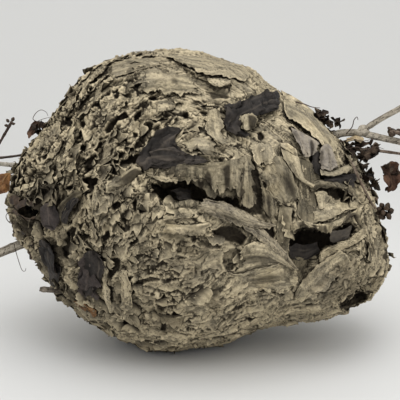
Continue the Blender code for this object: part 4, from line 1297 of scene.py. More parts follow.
# Sheets over the front: name, rows of (across, down, lift), and how each differs from a plain sheet
SHEETS = {
    "top_sheet": (
        ((172, 56, -0.6), (191, 56, -0.6), (212, 58, -0.6), (232, 63, -0.6), (250, 72, -0.6)),
        ((175, 60, 1), (190, 61, 1.5), (209, 65, 1.5), (229, 69, 1.2), (249, 76, 0.5)),
        ((178, 61, 2.2), (189, 68, 3.8), (203, 75, 4.6), (222, 76, 4), (246, 81, 1.6)),
        dict(rag=(0, 0.3, 0, 0.7), crumple=0.9, layered=0.7, stripes="across", finish="dull")),
    "top_strip": (
        ((156, 52, 0.8), (170, 53, 1.6), (184, 57, 1.4)),
        ((158, 56, 1.4), (171, 58, 2.4), (184, 61, 2.2)),
        dict(rag=(0.6, 0.4, 0.2, 0.4), crumple=0.3, stripes="across")),
    "top_small_flap": (
        ((206, 78, 0), (218, 78, 0.6), (231, 80, 0.2)),
        ((208, 81, 1.5), (219, 83, 2.4), (230, 83, 1.8)),
        ((212, 85, 2.6), (220, 87, 3.4), (228, 85, 2.8)),
        dict(rag=(0.4, 0.4, 0.1, 0.4), crumple=0.3, stripes="across")),
    "top_plate": (
        ((157, 101, 1.4), (166, 100, 1.4), (176, 103, 1.2)),
        ((157, 106, 1.8), (166, 106, 2), (176, 106, 1.6)),
        ((157, 112, 2.2), (166, 111, 2.4), (175, 109, 2)),
        dict(rag=(0.2, 0.5, 0.1, 0.4), crumple=0.3, stripes="across")),
    "crack_sheet_left": (
        ((112, 62, 0.2), (128, 58, 0.4), (146, 56, 0.4), (162, 60, 0.2)),
        ((112, 70, 0.8), (130, 66, 1.4), (148, 62, 1.4), (160, 64, 1)),
        ((112, 78, 1.2), (128, 74, 2.2), (144, 69, 2.2), (158, 66, 1.6)),
        dict(rag=(0.8, 0.8, 0.2, 0.6), crumple=0.9, layered=0.5, stripes="across", finish="dull")),
    "crack_sheet_middle": (
        ((136, 72, 0), (156, 68, 0.4), (176, 72, 0.4), (196, 80, 0.2)),
        ((136, 84, 0.6), (156, 84, 1), (176, 86, 1), (198, 88, 0.6)),
        ((138, 92, 1), (156, 92, 1.6), (178, 93, 1.8), (200, 93, 1.4)),
        dict(rag=(2.2, 1.6, 0.8, 1.8), crumple=0.9, folds=0.8, layered=0.4, stripes="across",
             finish="dull")),
    "tear_brow": (
        ((166, 160, 0.4), (185, 161, 1.4), (206, 163, 1.8), (228, 160, 1.6), (246, 156, 1)),
        ((164, 168, 2), (184, 170, 3.6), (204, 172, 4.6), (226, 174, 4.4), (246, 172, 3)),
        ((164, 176, 3), (182, 181, 5), (205, 188, 6.4), (226, 194, 6.4), (244, 198, 4.8)),
        dict(rag=(0.9, 0.6, 0.5, 2.8), crumple=1.5, folds=2.2, layered=0.3, finish="shaded")),
    "tear_lip": (
        ((142, 167, 0.2), (158, 168, 0.8), (180, 170, 1)),
        ((144, 172, 1.4), (160, 175, 2.4), (179, 177, 2.6)),
        ((150, 177, 2.4), (163, 183, 3.6), (178, 184, 4)),
        dict(rag=(0.5, 0.5, 0.2, 0.7), crumple=0.4, stripes="across")),
    "curtain_left": (
        ((240, 156, 0.6), (247, 155, 1.2), (255, 158, 0.8)),
        ((239, 180, 2), (247, 181, 3.4), (255, 184, 1.8)),
        ((240, 202, 3), (249, 207, 4.2), (258, 203, 2.8)),
        dict(rag=(1.4, 1.4, 0.1, 1.8), crumple=0.9, folds=1.8, layered=0.4, finish="shaded")),
    "curtain_low": (
        ((260, 186, 0.6), (269, 189, 1.6), (279, 195, 1.2)),
        ((261, 200, 2), (269, 203, 3.2), (278, 207, 2.4)),
        ((264, 212, 2.6), (270, 217, 3.6), (278, 214, 2.8)),
        dict(rag=(0.8, 0.8, 0.1, 1), crumple=0.8, folds=1.6, layered=0.4, finish="shaded")),
    "curtain_middle": (
        ((257, 158, 0.8), (270, 156, 1.8), (285, 156, 1.6)),
        ((261, 177, 2.4), (275, 175, 3.6), (290, 172, 2.6)),
        ((271, 195, 3), (284, 195, 4.2), (298, 189, 2.8)),
        ((282, 207, 3.2), (291, 209, 3.8), (300, 203, 2.8)),
        dict(rag=(2, 0.6, 0.1, 1.6), crumple=0.5, folds=1.8, layered=0.3, finish="golden")),
    "curtain_patch": (
        ((251, 143, 0.8), (263, 142, 1.6), (276, 146, 1.2)),
        ((253, 153, 2.2), (264, 154, 3.4), (276, 156, 2.6)),
        ((257, 163, 3.4), (265, 167, 4.6), (274, 167, 3.6)),
        dict(rag=(1.2, 1, 0.6, 1.5), crumple=0.6, folds=1.2, layered=0.4)),
    "curtain_right": (
        ((298, 158, 0.2), (306, 160, 0.8), (313, 164, 0.4)),
        ((299, 188, 0.6), (308, 190, 1.2), (316, 192, 0.6)),
        ((296, 222, 0.6), (306, 225, 1.2), (318, 222, 0.8)),
        dict(rag=(0.3, 0.3, 0.1, 0.4), crumple=0.25, folds=0.8, layered=0.25, finish="brown")),
    "diagonal_strip": (
        ((279, 144, 1.8), (286, 143, 3.2), (296, 148, 2.4)),
        ((283, 156, 3.4), (290, 155, 5.4), (299, 158, 3.6)),
        ((291, 170, 4), (296, 168, 5.8), (302, 169, 4)),
        ((299, 180, 4.4), (302, 180, 5.4), (306, 179, 4.4)),
        ((312, 188, 3.4), (314, 187, 4), (316, 185, 3.2)),
        dict(rag=(0.3, 0.4, 0.4, 0.3), crumple=0.3, layered=0.4)),
    "yellow_fold": (
        ((280, 142, 3.6), (288, 143, 4.8), (297, 150, 4)),
        ((281, 146, 4.4), (288, 148, 6), (297, 154, 5)),
        ((284, 149, 4.2), (290, 152, 5.6), (296, 156, 4.8)),
        dict(rag=(0.2, 0.2, 0.2, 0.3), crumple=0.3, layered=0.2, stripes="across", finish="cream")),
    "folded_flap": (
        ((199, 198, 3), (216, 200, 5.4), (234, 206, 6.4), (254, 216, 6), (276, 224, 5)),
        ((200, 203, 4.4), (217, 206, 8), (234, 212, 8.6), (253, 220, 7.6), (276, 225.5, 6)),
        ((201, 208, 3.6), (217, 213, 6.2), (234, 219, 6.8), (253, 224, 6.2), (275, 227, 5.2)),
        ((204, 212, 1.8), (219, 221, 3.6), (236, 226, 4.4), (254, 228, 4.4), (274, 228.5, 4.2)),
        dict(rag=(1, 0.2, 0.7, 1.2), crumple=1.7, folds=2.4, layered=0.7, stripes="across", finish="ash")),
    "notch_strip": (
        ((240, 219, 2.6), (256, 224, 4), (273, 238, 4.8), (287, 253, 5), (299, 270, 3.6)),
        ((242, 224, 2.2), (257, 230, 3.8), (271, 242, 4.4), (285, 256, 4.6), (297, 270, 3.6)),
        ((244, 230, 0.8), (256, 237, 2), (268, 248, 2.6), (281, 260, 3), (294, 270, 2.6)),
        dict(rag=(0.3, 0.2, 0.2, 0.5), crumple=0.4, folds=1.6, stripes="across", finish="ash")),
    "belly_sheet_upper": (
        ((240, 248, -1.6), (256, 241, 1), (270, 246, 3), (284, 257, 4), (297, 269, 4)),
        ((234, 262, -1.8), (252, 257, 1.4), (268, 258, 3.2), (282, 264, 4.2), (295, 271, 4.4)),
        ((234, 275, -1.6), (250, 271, 1.8), (265, 267, 3.8), (281, 264, 4.8), (294, 270, 4.8)),
        dict(rag=(2.4, 0.2, 0.3, 0.5), crumple=1.1, folds=1.3, layered=0.45, stripes="across",
             finish="pale", seed=4)),
    "belly_sheet_lower": (
        ((230, 268, -2.4), (252, 264, -0.6), (272, 262, 0.8), (286, 263, 2), (297, 271, 2.4)),
        ((228, 281, -2.4), (252, 281, -0.4), (272, 279, 1.2), (287, 279, 2.2), (298, 280, 2.8)),
        ((236, 292, -2), (254, 294, 0.6), (272, 295, 1.8), (284, 294, 2.6), (292, 290, 3)),
        dict(rag=(2.6, 0.6, 0.3, 1.4), crumple=1.2, folds=1.3, layered=0.6, stripes="across", finish="pale",
             seed=5)),
    "notch_inner_sheet": (
        ((292, 256, -6), (302, 257, -5), (312, 262, -6)),
        ((292, 268, -5), (300, 268, -3), (309, 270, -4)),
        ((291, 284, -3), (295, 286, -1.5), (300, 282, -2)),
        dict(rag=(0.3, 0.3, 0.3, 0.3), crumple=0.4, finish="brown")),
    "notch_inner_strip": (
        ((279, 206, 0), (286, 206, 1.2), (293, 208, 0.2)),
        ((276, 226, -0.5), (284, 228, 1.2), (292, 230, -0.5)),
        ((277, 246, -2), (284, 252, 0.4), (289, 252, -1)),
        dict(rag=(0.4, 0.4, 0.1, 0.6), crumple=0.5, folds=1.4, layered=0.2, finish="shaded")),
    "notch_lip": (
        ((290, 225, 0.6), (300, 220, 1), (318, 224, 1), (334, 221, 0.8), (358, 209, -0.4)),
        ((291, 229, 3.4), (302, 224, 4.8), (318, 228, 5.4), (334, 225, 4.4), (358, 212, 2.2)),
        ((292, 233, 2.6), (303, 228, 4.4), (318, 232, 4.8), (335, 229, 4.2), (358, 214.5, 2.2)),
        dict(rag=(0.4, 0.4, 0.1, 1.4), crumple=1.6, folds=2.2, layered=0.5, thickness=0.6, finish="pale")),
    "notch_grey_sheet": (
        ((329, 231, -6), (341, 229, -4), (353, 224, -3)),
        ((329, 237, -4.5), (341, 235, -2.5), (352, 231, -2)),
        ((330, 243, -3), (340, 243, -1.5), (350, 238, -1.5)),
        dict(rag=(0.6, 0.6, 0.4, 0.8), crumple=0.8, folds=0.8, layered=0.1, stripes="across",
             finish="shaded_violet")),
    "lobe_edge_sheet": (
        ((318, 262, 0.2), (322, 250, 1), (334, 243, 1.4), (350, 236, 1), (362, 226, 0.2)),
        ((320, 262, 1.2), (325, 252, 2.4), (337, 246, 2.8), (352, 240, 2.2), (364, 230, 0.8)),
        ((326, 264, 0), (331, 256, 0.6), (341, 251, 0.8), (354, 245, 0.6), (367, 236, -0.4)),
        dict(rag=(0.4, 0.4, 0.8, 0.2), crumple=0.5, folds=1, stripes="across", seed=8)),
    "shoulder_sheet": (
        ((281, 90, 0.2), (296, 98, 0.8), (310, 108, 1), (322, 121, 1), (333, 137, 0.8), (338, 151, 0.2)),
        ((283, 100, 1.2), (291, 106, 2), (304, 114, 2.4), (317, 128, 2.4), (328, 142, 2.2),
         (334, 153, 1.2)),
        ((285, 112, 1.6), (288, 117, 2.6), (298, 123, 3.4), (311, 134, 3.6), (322, 144, 3.2),
         (329, 154, 2.2)),
        dict(rag=(0.5, 0.5, 0.1, 0.5), crumple=0.35, layered=0.3, stripes="across", finish="pale")),
    "shoulder_flap": (
        ((290, 127, 2), (300, 131, 3.4), (309, 136, 3.8), (319, 142, 2.6)),
        ((294, 135, 4.2), (302, 138, 6.2), (310, 143, 5.8), (318, 147, 4.2)),
        ((300, 147, 5.4), (305, 148, 6.6), (311, 150, 6), (317, 152, 4.8)),
        ((303, 158, 5.2), (307, 158, 6), (311, 156, 5.6), (315, 154, 5)),
        dict(rag=(0.6, 0.4, 0.2, 0.5), crumple=1.7, folds=1.8, layered=0.1, finish="violet")),
    "shoulder_low_flap": (
        ((320, 148, 2.6), (327, 143, 4.6), (334, 150, 2.6)),
        ((320, 158, 4), (329, 155, 6.2), (337, 160, 4)),
        ((321, 171, 4.4), (331, 172, 6.2), (340, 169, 4.4)),
        dict(rag=(0.6, 0.8, 0.3, 0.8), crumple=1.6, folds=1.6, layered=0.1, finish="violet")),
    "shoulder_lip": (
        ((320, 169, 3.4), (332, 171, 4.6), (344, 166, 4.6), (357, 160, 3)),
        ((321, 174, 5), (333, 175, 6.4), (346, 170, 6.4), (358, 163, 4.2)),
        ((322, 176, 4.2), (334, 177, 5.6), (347, 173, 5.6), (359, 167, 3.6)),
        dict(rag=(0.4, 0.5, 0.1, 0.9), crumple=0.9, folds=1.2, layered=0.3, stripes="across")),
    "shoulder_dark_leaf": (
        ((322, 176, -1), (340, 174, 0.4), (358, 172, -1)),
        ((323, 181, 0.4), (340, 180, 2), (357, 180, 0.4)),
        ((325, 187, -1), (340, 185, 0.4), (353, 188, -1)),
        dict(rag=(0.8, 0.8, 0.6, 0.6), crumple=2.2, folds=2, layered=0, stripes="across",
             finish="black_leaf")),
    "shoulder_dark_fold": (
        ((312, 152, 0), (317, 150, 1), (322, 154, 0)),
        ((312, 162, 0.4), (318, 162, 1.6), (323, 164, 0.4)),
        ((313, 173, 0), (319, 175, 1), (325, 173, 0)),
        dict(rag=(0.5, 0.5, 0.3, 0.6), crumple=1, layered=0, finish="black_leaf")),
    "tear_leaf": (
        ((171, 187, -8), (182, 186, -6.5), (194, 190, -7.5)),
        ((173, 194, -6), (184, 194, -4), (196, 197, -5.5)),
        ((178, 202, -5), (187, 203, -3.5), (195, 203, -4.5)),
        dict(rag=(1.6, 1.6, 1.2, 1.2), crumple=2.2, folds=1.6, layered=0, stripes="across",
             finish="charcoal_leaf")),
    "notch_dark_leaf": (
        ((288, 246, -9), (296, 243, -9.5), (305, 245, -9.5), (318, 242, -8.5)),
        ((289, 252, -6.5), (297, 251, -9), (306, 251, -9), (319, 247, -7)),
        ((291, 257, -3.6), (299, 259, -5.4), (308, 257, -5), (320, 250, -4.2)),
        ((293, 258, -3.6), (300, 261, -5.2), (309, 259, -4.8), (321, 252, -4.2)),
        dict(rag=(0.3, 0.3, 0.4, 0.4), crumple=1.2, folds=0.8, layered=0, stripes="across",
             finish="black_leaf")),
    "shoulder_under_flap": (
        ((320, 166, 0), (333, 168, 1), (348, 168, 0.4)),
        ((322, 172, 0.6), (334, 174, 1.8), (346, 173, 0.8)),
        dict(rag=(0.4, 0.6, 0.2, 0.9), crumple=0.8, finish="brown")),
    "scroll_lip": (
        ((308, 184, 0.4), (320, 180, 1.6), (334, 181, 1.6), (348, 186, 0.6)),
        ((309, 188, 2.6), (320, 184, 4.2), (334, 185, 4.2), (347, 189, 2.6)),
        ((310, 192, 2.4), (320, 189, 3.8), (333, 189, 3.8), (345, 191, 2.4)),
        dict(rag=(0.4, 0.4, 0.2, 0.5), crumple=0.5, stripes="across", finish="brown")),
    "scroll_curl": (
        ((313, 193, 0.4), (320, 190, 2.6), (329, 192, 1.2)),
        ((314, 199, 2.6), (321, 197, 5.2), (330, 198, 2.8)),
        ((317, 207, 0.8), (322, 208, 3), (328, 205, 1)),
        dict(rag=(0.8, 0.8, 0.6, 0.8), crumple=1.8, folds=1.6, layered=0.1, finish="pale")),
    "scroll_sheet": (
        ((312, 208, 0.2), (328, 202, 1), (345, 202, 0.8), (359, 200, 0.2)),
        ((314, 214, 1.6), (330, 209, 2.6), (346, 206, 2.2), (359, 206, 0.8)),
        ((316, 222, 1), (332, 218, 2.2), (346, 212, 1.8), (359, 208, 0.6)),
        dict(rag=(0.6, 0.8, 1, 0.4), crumple=1.5, folds=1.8, layered=0.4, stripes="across", seed=12)),
    "leaf_shaped_flap": (
        ((100, 188, 0.2), (110, 181, 1.6), (122, 173, 2.2), (132, 166, 2.2), (141, 167, 0.8)),
        ((101, 189, 1), (113, 184.5, 3.6), (125, 177.5, 4.6), (135, 171.5, 4.2), (142, 170, 1.8)),
        ((103, 190.5, 0.4), (116, 188, 2.2), (129, 183, 2.8), (138, 177, 2.4), (143, 173, 1)),
        dict(rag=(0.1, 0.4, 0.9, 0.9), crumple=0.8, folds=2, layered=0.15, stripes="across")),
    "groove_sheet": (
        ((116, 272, 0.2), (120, 286, 0.6), (121, 302, 0.8), (118, 318, 0.2)),
        ((121, 270, 1.2), (125, 286, 1.6), (126, 302, 1.6), (122, 320, 0.8)),
        ((127, 270, 0.2), (131, 286, 0.4), (132, 304, 0.4), (127, 320, 0)),
        dict(rag=(0.3, 0.3, 0.5, 0.4), crumple=0.4, stripes="across")),
    "pale_strip": (
        ((101, 264, 0.6), (101, 280, 1.2), (103, 296, 1.4), (109, 313, 0.8)),
        ((104, 262, 1.4), (105, 280, 2.2), (107, 296, 2.2), (111, 314, 1.4)),
        ((107, 262, 0.6), (108, 280, 1.2), (111, 296, 1.2), (114, 312, 0.6)),
        dict(rag=(0.4, 0.4, 0.5, 0.5), crumple=0.4, stripes="across", finish="tan")),
    "left_pale_curl": (
        ((8, 190, 0), (18, 186, 2), (36, 181, 0.6)),
        ((9, 194, 1.8), (19, 191, 4.2), (34, 185, 2)),
        dict(rag=(0.4, 0.8, 0.4, 0.6), crumple=0.8, folds=0.8, layered=0.2, stripes="across",
             finish="cream")),
    "left_dark_disc": (
        ((8, 197, 0), (14, 194, 1.6), (21, 197, 0.4)),
        ((9, 201, 1.6), (14, 200, 3.2), (20, 201, 1.6)),
        ((10, 204, 0.2), (15, 205, 1.6), (20, 204, 0.4)),
        dict(rag=(0.3, 0.3, 0.3, 0.3), crumple=0.7, layered=0, finish="umber_leaf")),
    "left_cup_upper": (
        ((13, 206, 0), (22, 200, 1.4), (33, 201, 1.4), (40, 208, 0.2)),
        ((15, 209, 2.6), (23, 204, 4.6), (31, 204, 4.8), (37, 210, 2.8)),
        ((17, 211, 2), (24, 207, 3.2), (30, 207, 3.2), (35, 211, 2.2)),
        dict(rag=(0.4, 0.4, 0.3, 0.5), crumple=0.9, folds=1, layered=0, stripes="across",
             finish="umber_leaf")),
    "left_cup_lower": (
        ((10, 210, 0), (17, 218, 1.8), (28, 222, 2), (38, 218, 0.4)),
        ((14, 209, 2.6), (20, 214, 5), (29, 218, 4.8), (37, 215, 2.6)),
        dict(rag=(0.4, 0.4, 0.5, 0.4), crumple=0.9, folds=1, layered=0, stripes="across",
             finish="umber_leaf")),
    "left_dark_edge": (
        ((10, 220, 0), (15, 232, 0.4), (22, 246, 0.6), (31, 262, 0)),
        ((14, 219, 1.6), (20, 231, 2.4), (27, 244, 2.6), (36, 258, 1.4)),
        ((18, 219, 0.6), (25, 230, 1), (32, 242, 1.2), (39, 254, 0.4)),
        dict(rag=(0.6, 0.6, 1.4, 1.2), crumple=1.6, folds=1.4, layered=0, stripes="across",
             finish="umber_leaf")),
    "left_scoop": (
        ((57, 207, 0.4), (64, 198, 1.6), (74, 190, 1.6), (82, 189, 0.4)),
        ((59, 214, 1.8), (67, 205, 3.2), (76, 197, 3.2), (83, 193, 1.4)),
        ((60, 226, 0.4), (68, 216, 1.6), (76, 207, 1.6), (82, 198, 0.6)),
        dict(rag=(0.5, 0.5, 0.5, 1), crumple=0.9, folds=1.6, layered=0.3, stripes="across",
             finish="brown")),
    "left_low_tatter": (
        ((47, 268, 0), (54, 264, 1), (61, 268, 0.2)),
        ((47, 277, 1.6), (54, 276, 3), (60, 279, 1.4)),
        ((49, 286, 0.8), (54, 288, 2), (60, 288, 0.8)),
        dict(rag=(0.6, 0.6, 0.4, 0.9), crumple=1.6, folds=1.2, layered=0, finish="charcoal_leaf")),
    "charcoal_tatter": (
        ((84, 252, 1), (92, 250, 2.6), (101, 254, 1)),
        ((82, 264, 3), (92, 265, 5), (103, 266, 2.6)),
        ((80, 277, 2.4), (90, 282, 4), (101, 281, 1.8)),
        ((79, 291, 0.6), (86, 296, 2), (94, 294, 0.6)),
        dict(rag=(1.2, 1.2, 0.6, 1.8), crumple=2.2, folds=2, layered=0, finish="charcoal_leaf")),
    "orange_flecks": (
        ((74, 300, 0.4), (84, 303, 1.2), (97, 309, 0.4)),
        ((76, 306, 1.4), (86, 311, 2.4), (97, 317, 1)),
        dict(rag=(0.8, 0.8, 0.6, 1.2), crumple=1, folds=0.8, layered=0.2, stripes="across",
             finish="orange_leaf")),
    "upper_leaf_tail": (
        ((149, 149, 1), (164, 145, 3.2), (180, 150, 3.2), (193, 155, 2.2), (207, 160, 1)),
        ((148, 157, 2), (164, 156, 5.2), (179, 158, 4.6), (192, 160, 3.2), (208, 161.5, 1.4)),
        ((142, 165, 1), (160, 169, 2.6), (176, 167, 2.4), (190, 165, 1.8), (204, 163, 0.8)),
        dict(rag=(0.8, 0.3, 0.9, 0.6), crumple=1.5, folds=1.8, layered=0, stripes="across",
             finish="charcoal_leaf")),
    "brow_lump": (
        ((239, 114, 2), (248, 111, 5.6), (257, 115, 3)),
        ((238, 121, 3.6), (248, 120, 8.4), (258, 122, 4.6)),
        ((240, 129, 1.6), (248, 131, 5), (256, 129, 2.4)),
        dict(rag=(0.6, 0.6, 0.6, 0.6), crumple=3, folds=2, layered=0.6, finish="tan")),
    "tear_lower_lip": (
        ((154, 214, 0), (168, 210, 0.2), (184, 207, 0.4), (198, 208, 0.2)),
        ((153, 209, 1.2), (167, 205, 1.8), (183, 202, 2.2), (199, 203, 1.6)),
        ((152, 206, 1), (166, 202, 1.6), (182, 199, 2), (198, 200, 1.4)),
        dict(rag=(0.5, 0.5, 0.2, 0.9), crumple=0.6, folds=1.2, seed=15)),
    "lobe_flank": (
        ((304, 304, -1), (322, 292, -0.6), (338, 278, -0.6), (352, 263, -1)),
        ((298, 301, 0.6), (313, 285, 1.4), (330, 269, 1.6), (346, 254, 0.6)),
        ((292, 297, 1.6), (304, 279, 3), (321, 262, 3.6), (339, 248, 2.4)),
        dict(rag=(0.6, 0.6, 0.8, 0.8), crumple=0.7, folds=0.9, layered=0.6, stripes="across")),
    "belly_ridge": (
        ((226, 271, 0.6), (238, 273, 1.8), (250, 271, 3.2), (264, 267, 4.6), (279, 263, 5.6)),
        ((226, 272.4, 1.4), (238, 274.8, 3.2), (250, 273, 4.8), (264, 269, 6.2), (279, 264.6, 7)),
        ((226, 274, 0.4), (238, 277, 1.2), (250, 275.4, 2.8), (264, 271.4, 4.2), (279, 266.4, 5.2)),
        dict(rag=(0.2, 0.2, 0.9, 0.9), crumple=0.9, layered=0, stripes="across", finish="cream")),
    "belly_shelf_upper": (
        ((164, 223, -0.4), (180, 224, 0.2), (196, 224, 0.2), (208, 222, -0.2)),
        ((163, 229, 1.4), (180, 231, 2.6), (197, 230, 2.6), (209, 226, 1)),
        ((161, 236, 2.4), (178, 235, 4), (196, 234, 3.6), (210, 229, 1.4)),
        dict(rag=(0.8, 0.8, 0.2, 1.3), crumple=0.9, folds=1, layered=0.1, stripes="across", finish="tan")),
    "brow_fold": (
        ((206, 112, 0), (214, 108, 0.8), (221, 112, 0.6)),
        ((204, 122, 1.8), (213, 122, 3.6), (223, 126, 2.4)),
        ((208, 134, 2), (217, 138, 3.8), (228, 139, 2.4)),
        ((218, 146, 0.6), (227, 147, 1.8), (236, 144, 0.6)),
        dict(rag=(1.6, 1.6, 0.8, 1.4), crumple=1.3, folds=1.2, layered=0.2)),
    "brow_shelf": (
        ((184, 140, -0.2), (200, 136, 0.4), (216, 140, 0.2)),
        ((182, 148, 1.6), (199, 146, 3), (217, 150, 1.8)),
        ((184, 153, 2.2), (200, 153, 3.8), (219, 158, 2.2)),
        dict(rag=(1.8, 1.6, 0.6, 2.2), crumple=1.3, folds=1.2, layered=0.2, stripes="across")),
    "upper_leaf_body": (
        ((221, 104, 0.6), (234, 102, 2), (247, 99, 2.4), (262, 93, 2.4), (277, 88, 1)),
        ((226, 111, 1.6), (237, 108, 3.6), (250, 105, 4), (265, 102, 4), (280, 98, 1.8)),
        ((229, 118, 1), (240, 114, 2.8), (252, 111, 3.4), (266, 112, 3.2), (279, 112, 1.2)),
        dict(rag=(0.8, 0.8, 0.8, 0.9), crumple=2, folds=2.2, layered=0, stripes="across",
             finish="black_leaf")),
    "upper_leaf_arm": (
        ((226, 111, 1.4), (233, 112, 3.2), (241, 114, 1.6)),
        ((229, 122, 1.4), (234, 122, 2.8), (240, 124, 1.6)),
        ((234, 132, 1), (239, 132, 2.4), (244, 130, 1.2)),
        ((241, 138, 0.4), (246, 138, 1.6), (251, 135, 0.4)),
        dict(rag=(0.8, 0.8, 0.4, 0.8), crumple=1.4, folds=1.6, layered=0, finish="black_leaf")),
    "tear_back_sheet": (
        ((188, 172, -0.6), (200, 177, 0.2), (213, 183, 0.6), (227, 188, 0.6), (240, 190, 0)),
        ((187, 178, -0.4), (199, 184, 0.6), (212, 190, 1.2), (226, 194, 1.2), (239, 196, 0.6)),
        ((189, 184, -0.6), (200, 190, 0.6), (212, 197, 1.4), (225, 200, 1.4), (238, 203, 0.6)),
        dict(rag=(1, 0.6, 0.2, 2.6), crumple=1.3, folds=2, layered=0.3, finish="brown")),
    "mid_ledge": (
        ((164, 214, 0), (178, 213, 0.4), (194, 214, 0.2)),
        ((163, 219, 1.4), (178, 217, 2.2), (193, 216, 1.6)),
        ((164, 223, 1.6), (178, 220, 2.6), (190, 219, 2)),
        dict(rag=(0.5, 0.5, 0.2, 0.6), crumple=0.5, stripes="across", seed=16)),
}


# The paper finishes of the sheets: material name, lightness, how violet, how much ochre
SHEET_FINISHES = {
    "paper": ("Sheet Paper", 1.02, 0.0, 0.30),
    "dull": ("Dull Sheet", 0.84, 0.0, 0.30),
    # shaded: the paper darkened as painted shade, for sheets that hang in shade
    "shaded": ("Shaded Sheet", 0.62, 0.0, 0.4),
    "golden": ("Golden Sheet", 0.72, 0.0, 0.75),
    "cream": ("Cream Sheet", 1.35, 0.0, 0.65),
    "ash": ("Ash Sheet", 0.95, 0.22, 0.1),
    "tan": ("Tan Sheet", 1.1, 0.0, 0.6),
    "pale": ("Pale Sheet", 1.15, 0.0, 0.5),
    # brown: dark brown paper, used as painted shade for the sheets behind the tear's brow, in the notch and
    # under the shoulder's flap
    "brown": ("Brown Sheet", 0.42, 0.0, 0.7),
    # A dark copy of the grey violet paper: painted shade for the sheet sunk in the notch
    "shaded_violet": ("Shaded Violet Sheet", 0.5, 0.7, 0.0),
    "violet": ("Grey Sheet", 1.15, 0.62, 0.0),
}


class BuildSheets(bpy.types.Operator):
    """Lays the torn sheets, lips and curtains that the front shows"""

    bl_idname = "hornet_nest.sheets"
    bl_label = "Torn Sheets"

    def execute(self, context):
        for number, (name, (*rows, style)) in enumerate(SHEETS.items()):
            style = {"seed": 100 + number, **style}
            finish = style.pop("finish", "paper")
            if finish in SHEET_FINISHES:
                material, slot = paper_finish(*SHEET_FINISHES[finish]), "nest_paper"
            else:
                material, slot = leaf_look(finish.removesuffix("_leaf"))
            build_sheet(name, rows, material, slot, **style)
        return {"FINISHED"}


# ---------------------------------------------------------------- leaves


def divided_copy(node, levels):
    """A CAD node's mesh, merged and divided into fine, rounded faces."""
    obj = loose_object(node, cad_copy(node))
    divide = obj.modifiers.new("divide", "SUBSURF")
    divide.levels = levels
    divide.render_levels = levels
    return applied(obj)


def own_axes(places):
    """The middle of some places, and their long, broad and thin directions as the rows of a matrix."""
    middle = places.mean(axis=0)
    axes = np.linalg.svd(places - middle, full_matrices=False)[2]
    return middle, axes


@lru_cache(maxsize=None)
def leaf_finish(name, colour, second, vein):
    """A dry leaf: two mottled colours, paler veins and edges, a faint sheen, and painted shade in its folds
    and crevices.
    """
    mat = Finish(name)
    where = mat.object_place()
    depth, edge, tone = mat.channels("shade")
    mottle = mat.noise(where, 160.0, detail=4.0, roughness=0.65)
    skin = mat.noise(where, 900.0, detail=3.0, roughness=0.6)
    base = mat.mix(mat.ramp(mottle, (0.36, 0.0), (0.66, 1.0)), colour, second)
    base = mat.mix(1.0, base, mat.ramp(skin, (0.30, 0.72), (0.70, 1.25)), blend="MULTIPLY")
    base = mat.mix(mat.ramp(tone, (0.60, 0.0), (0.95, 0.5)), base, vein)
    base = mat.mix(edge * 0.45, base, vein)
    # Painted shade in the fold valleys
    base = mat.mix(depth, base, dimmed(colour, 0.2))
    # Painted shade in crevices, from the ambient occlusion node
    base = mat.mix(mat.ramp(mat.openness(0.006), (0.25, 0.9), (0.70, 0.0)), base, dimmed(colour, 0.15))
    rough = mat.ramp(skin, (0.3, 0.55), (0.7, 0.78))
    height = mottle * 0.7 + skin * 0.3 + tone * 0.6
    return mat.finish(base, rough, normal=mat.bump(height, distance=0.0006, strength=0.7))


# The leaves: CAD node, finish, and in millimetres how crumpled, how ragged, and spacing of the side veins
LEAVES = {
    "leaf_tear_brow": ("charcoal", 2.2, 2.2, 5.0),
    "leaf_brow_tip": ("charcoal", 1.4, 1.6, 5.0),
    "leaf_upper": ("black", 2.4, 2.2, 5.0),
    "leaf_left_oval": ("violet", 1.4, 1.0, 4.0),
    "leaf_left_strip": ("black", 1.3, 1.1, 4.0),
    "leaf_left_long": ("black", 1.9, 1.4, 4.0),
    "leaf_left_charcoal": ("violet", 3.4, 3.6, 5.0),
    "leaf_left_orange": ("orange", 1.5, 1.5, 4.0),
    "leaf_left_small": ("brown", 3.0, 2.2, 4.0),
    "leaf_right_dark": ("umber", 3.4, 3.2, 4.0),
    "leaf_right_tan": ("tan", 1.8, 1.6, 3.0),
    "leaf_right_mass": ("umber", 4.0, 3.6, 4.0),
    "leaf_right_strip": ("black", 1.4, 1.5, 4.0),
    "leaf_right_serrated": ("brown", 2.6, 2.8, 3.0),
}

# Finishes of leaves: slot, the two mottled colours, colour of veins and edges
LEAF_LOOKS = {
    "charcoal": ("dark_leaf", (0.020, 0.0168, 0.0145), (0.048, 0.040, 0.034), (0.14, 0.115, 0.09)),
    "black": ("dark_leaf", (0.014, 0.012, 0.011), (0.038, 0.032, 0.028), (0.11, 0.092, 0.072)),
    "violet": ("dark_leaf", (0.034, 0.027, 0.025), (0.066, 0.053, 0.047), (0.15, 0.12, 0.10)),
    "brown": ("brown_leaf", (0.050, 0.025, 0.016), (0.115, 0.058, 0.034), (0.22, 0.14, 0.085)),
    "umber": ("brown_leaf", (0.026, 0.018, 0.013), (0.090, 0.060, 0.040), (0.22, 0.165, 0.11)),
    "orange": ("brown_leaf", (0.075, 0.032, 0.014), (0.29, 0.145, 0.055), (0.40, 0.26, 0.13)),
    "tan": ("tan_leaf", (0.36, 0.27, 0.155), (0.46, 0.37, 0.235), (0.54, 0.46, 0.31)),
}

# No leaf comes nearer to the table than this
LEAF_GAP = 0.0004


def leaf_look(kind):
    """The material and the slot of this kind of leaf."""
    slot, *colours = LEAF_LOOKS[kind]
    return leaf_finish(kind.title() + " Leaf", *colours), slot


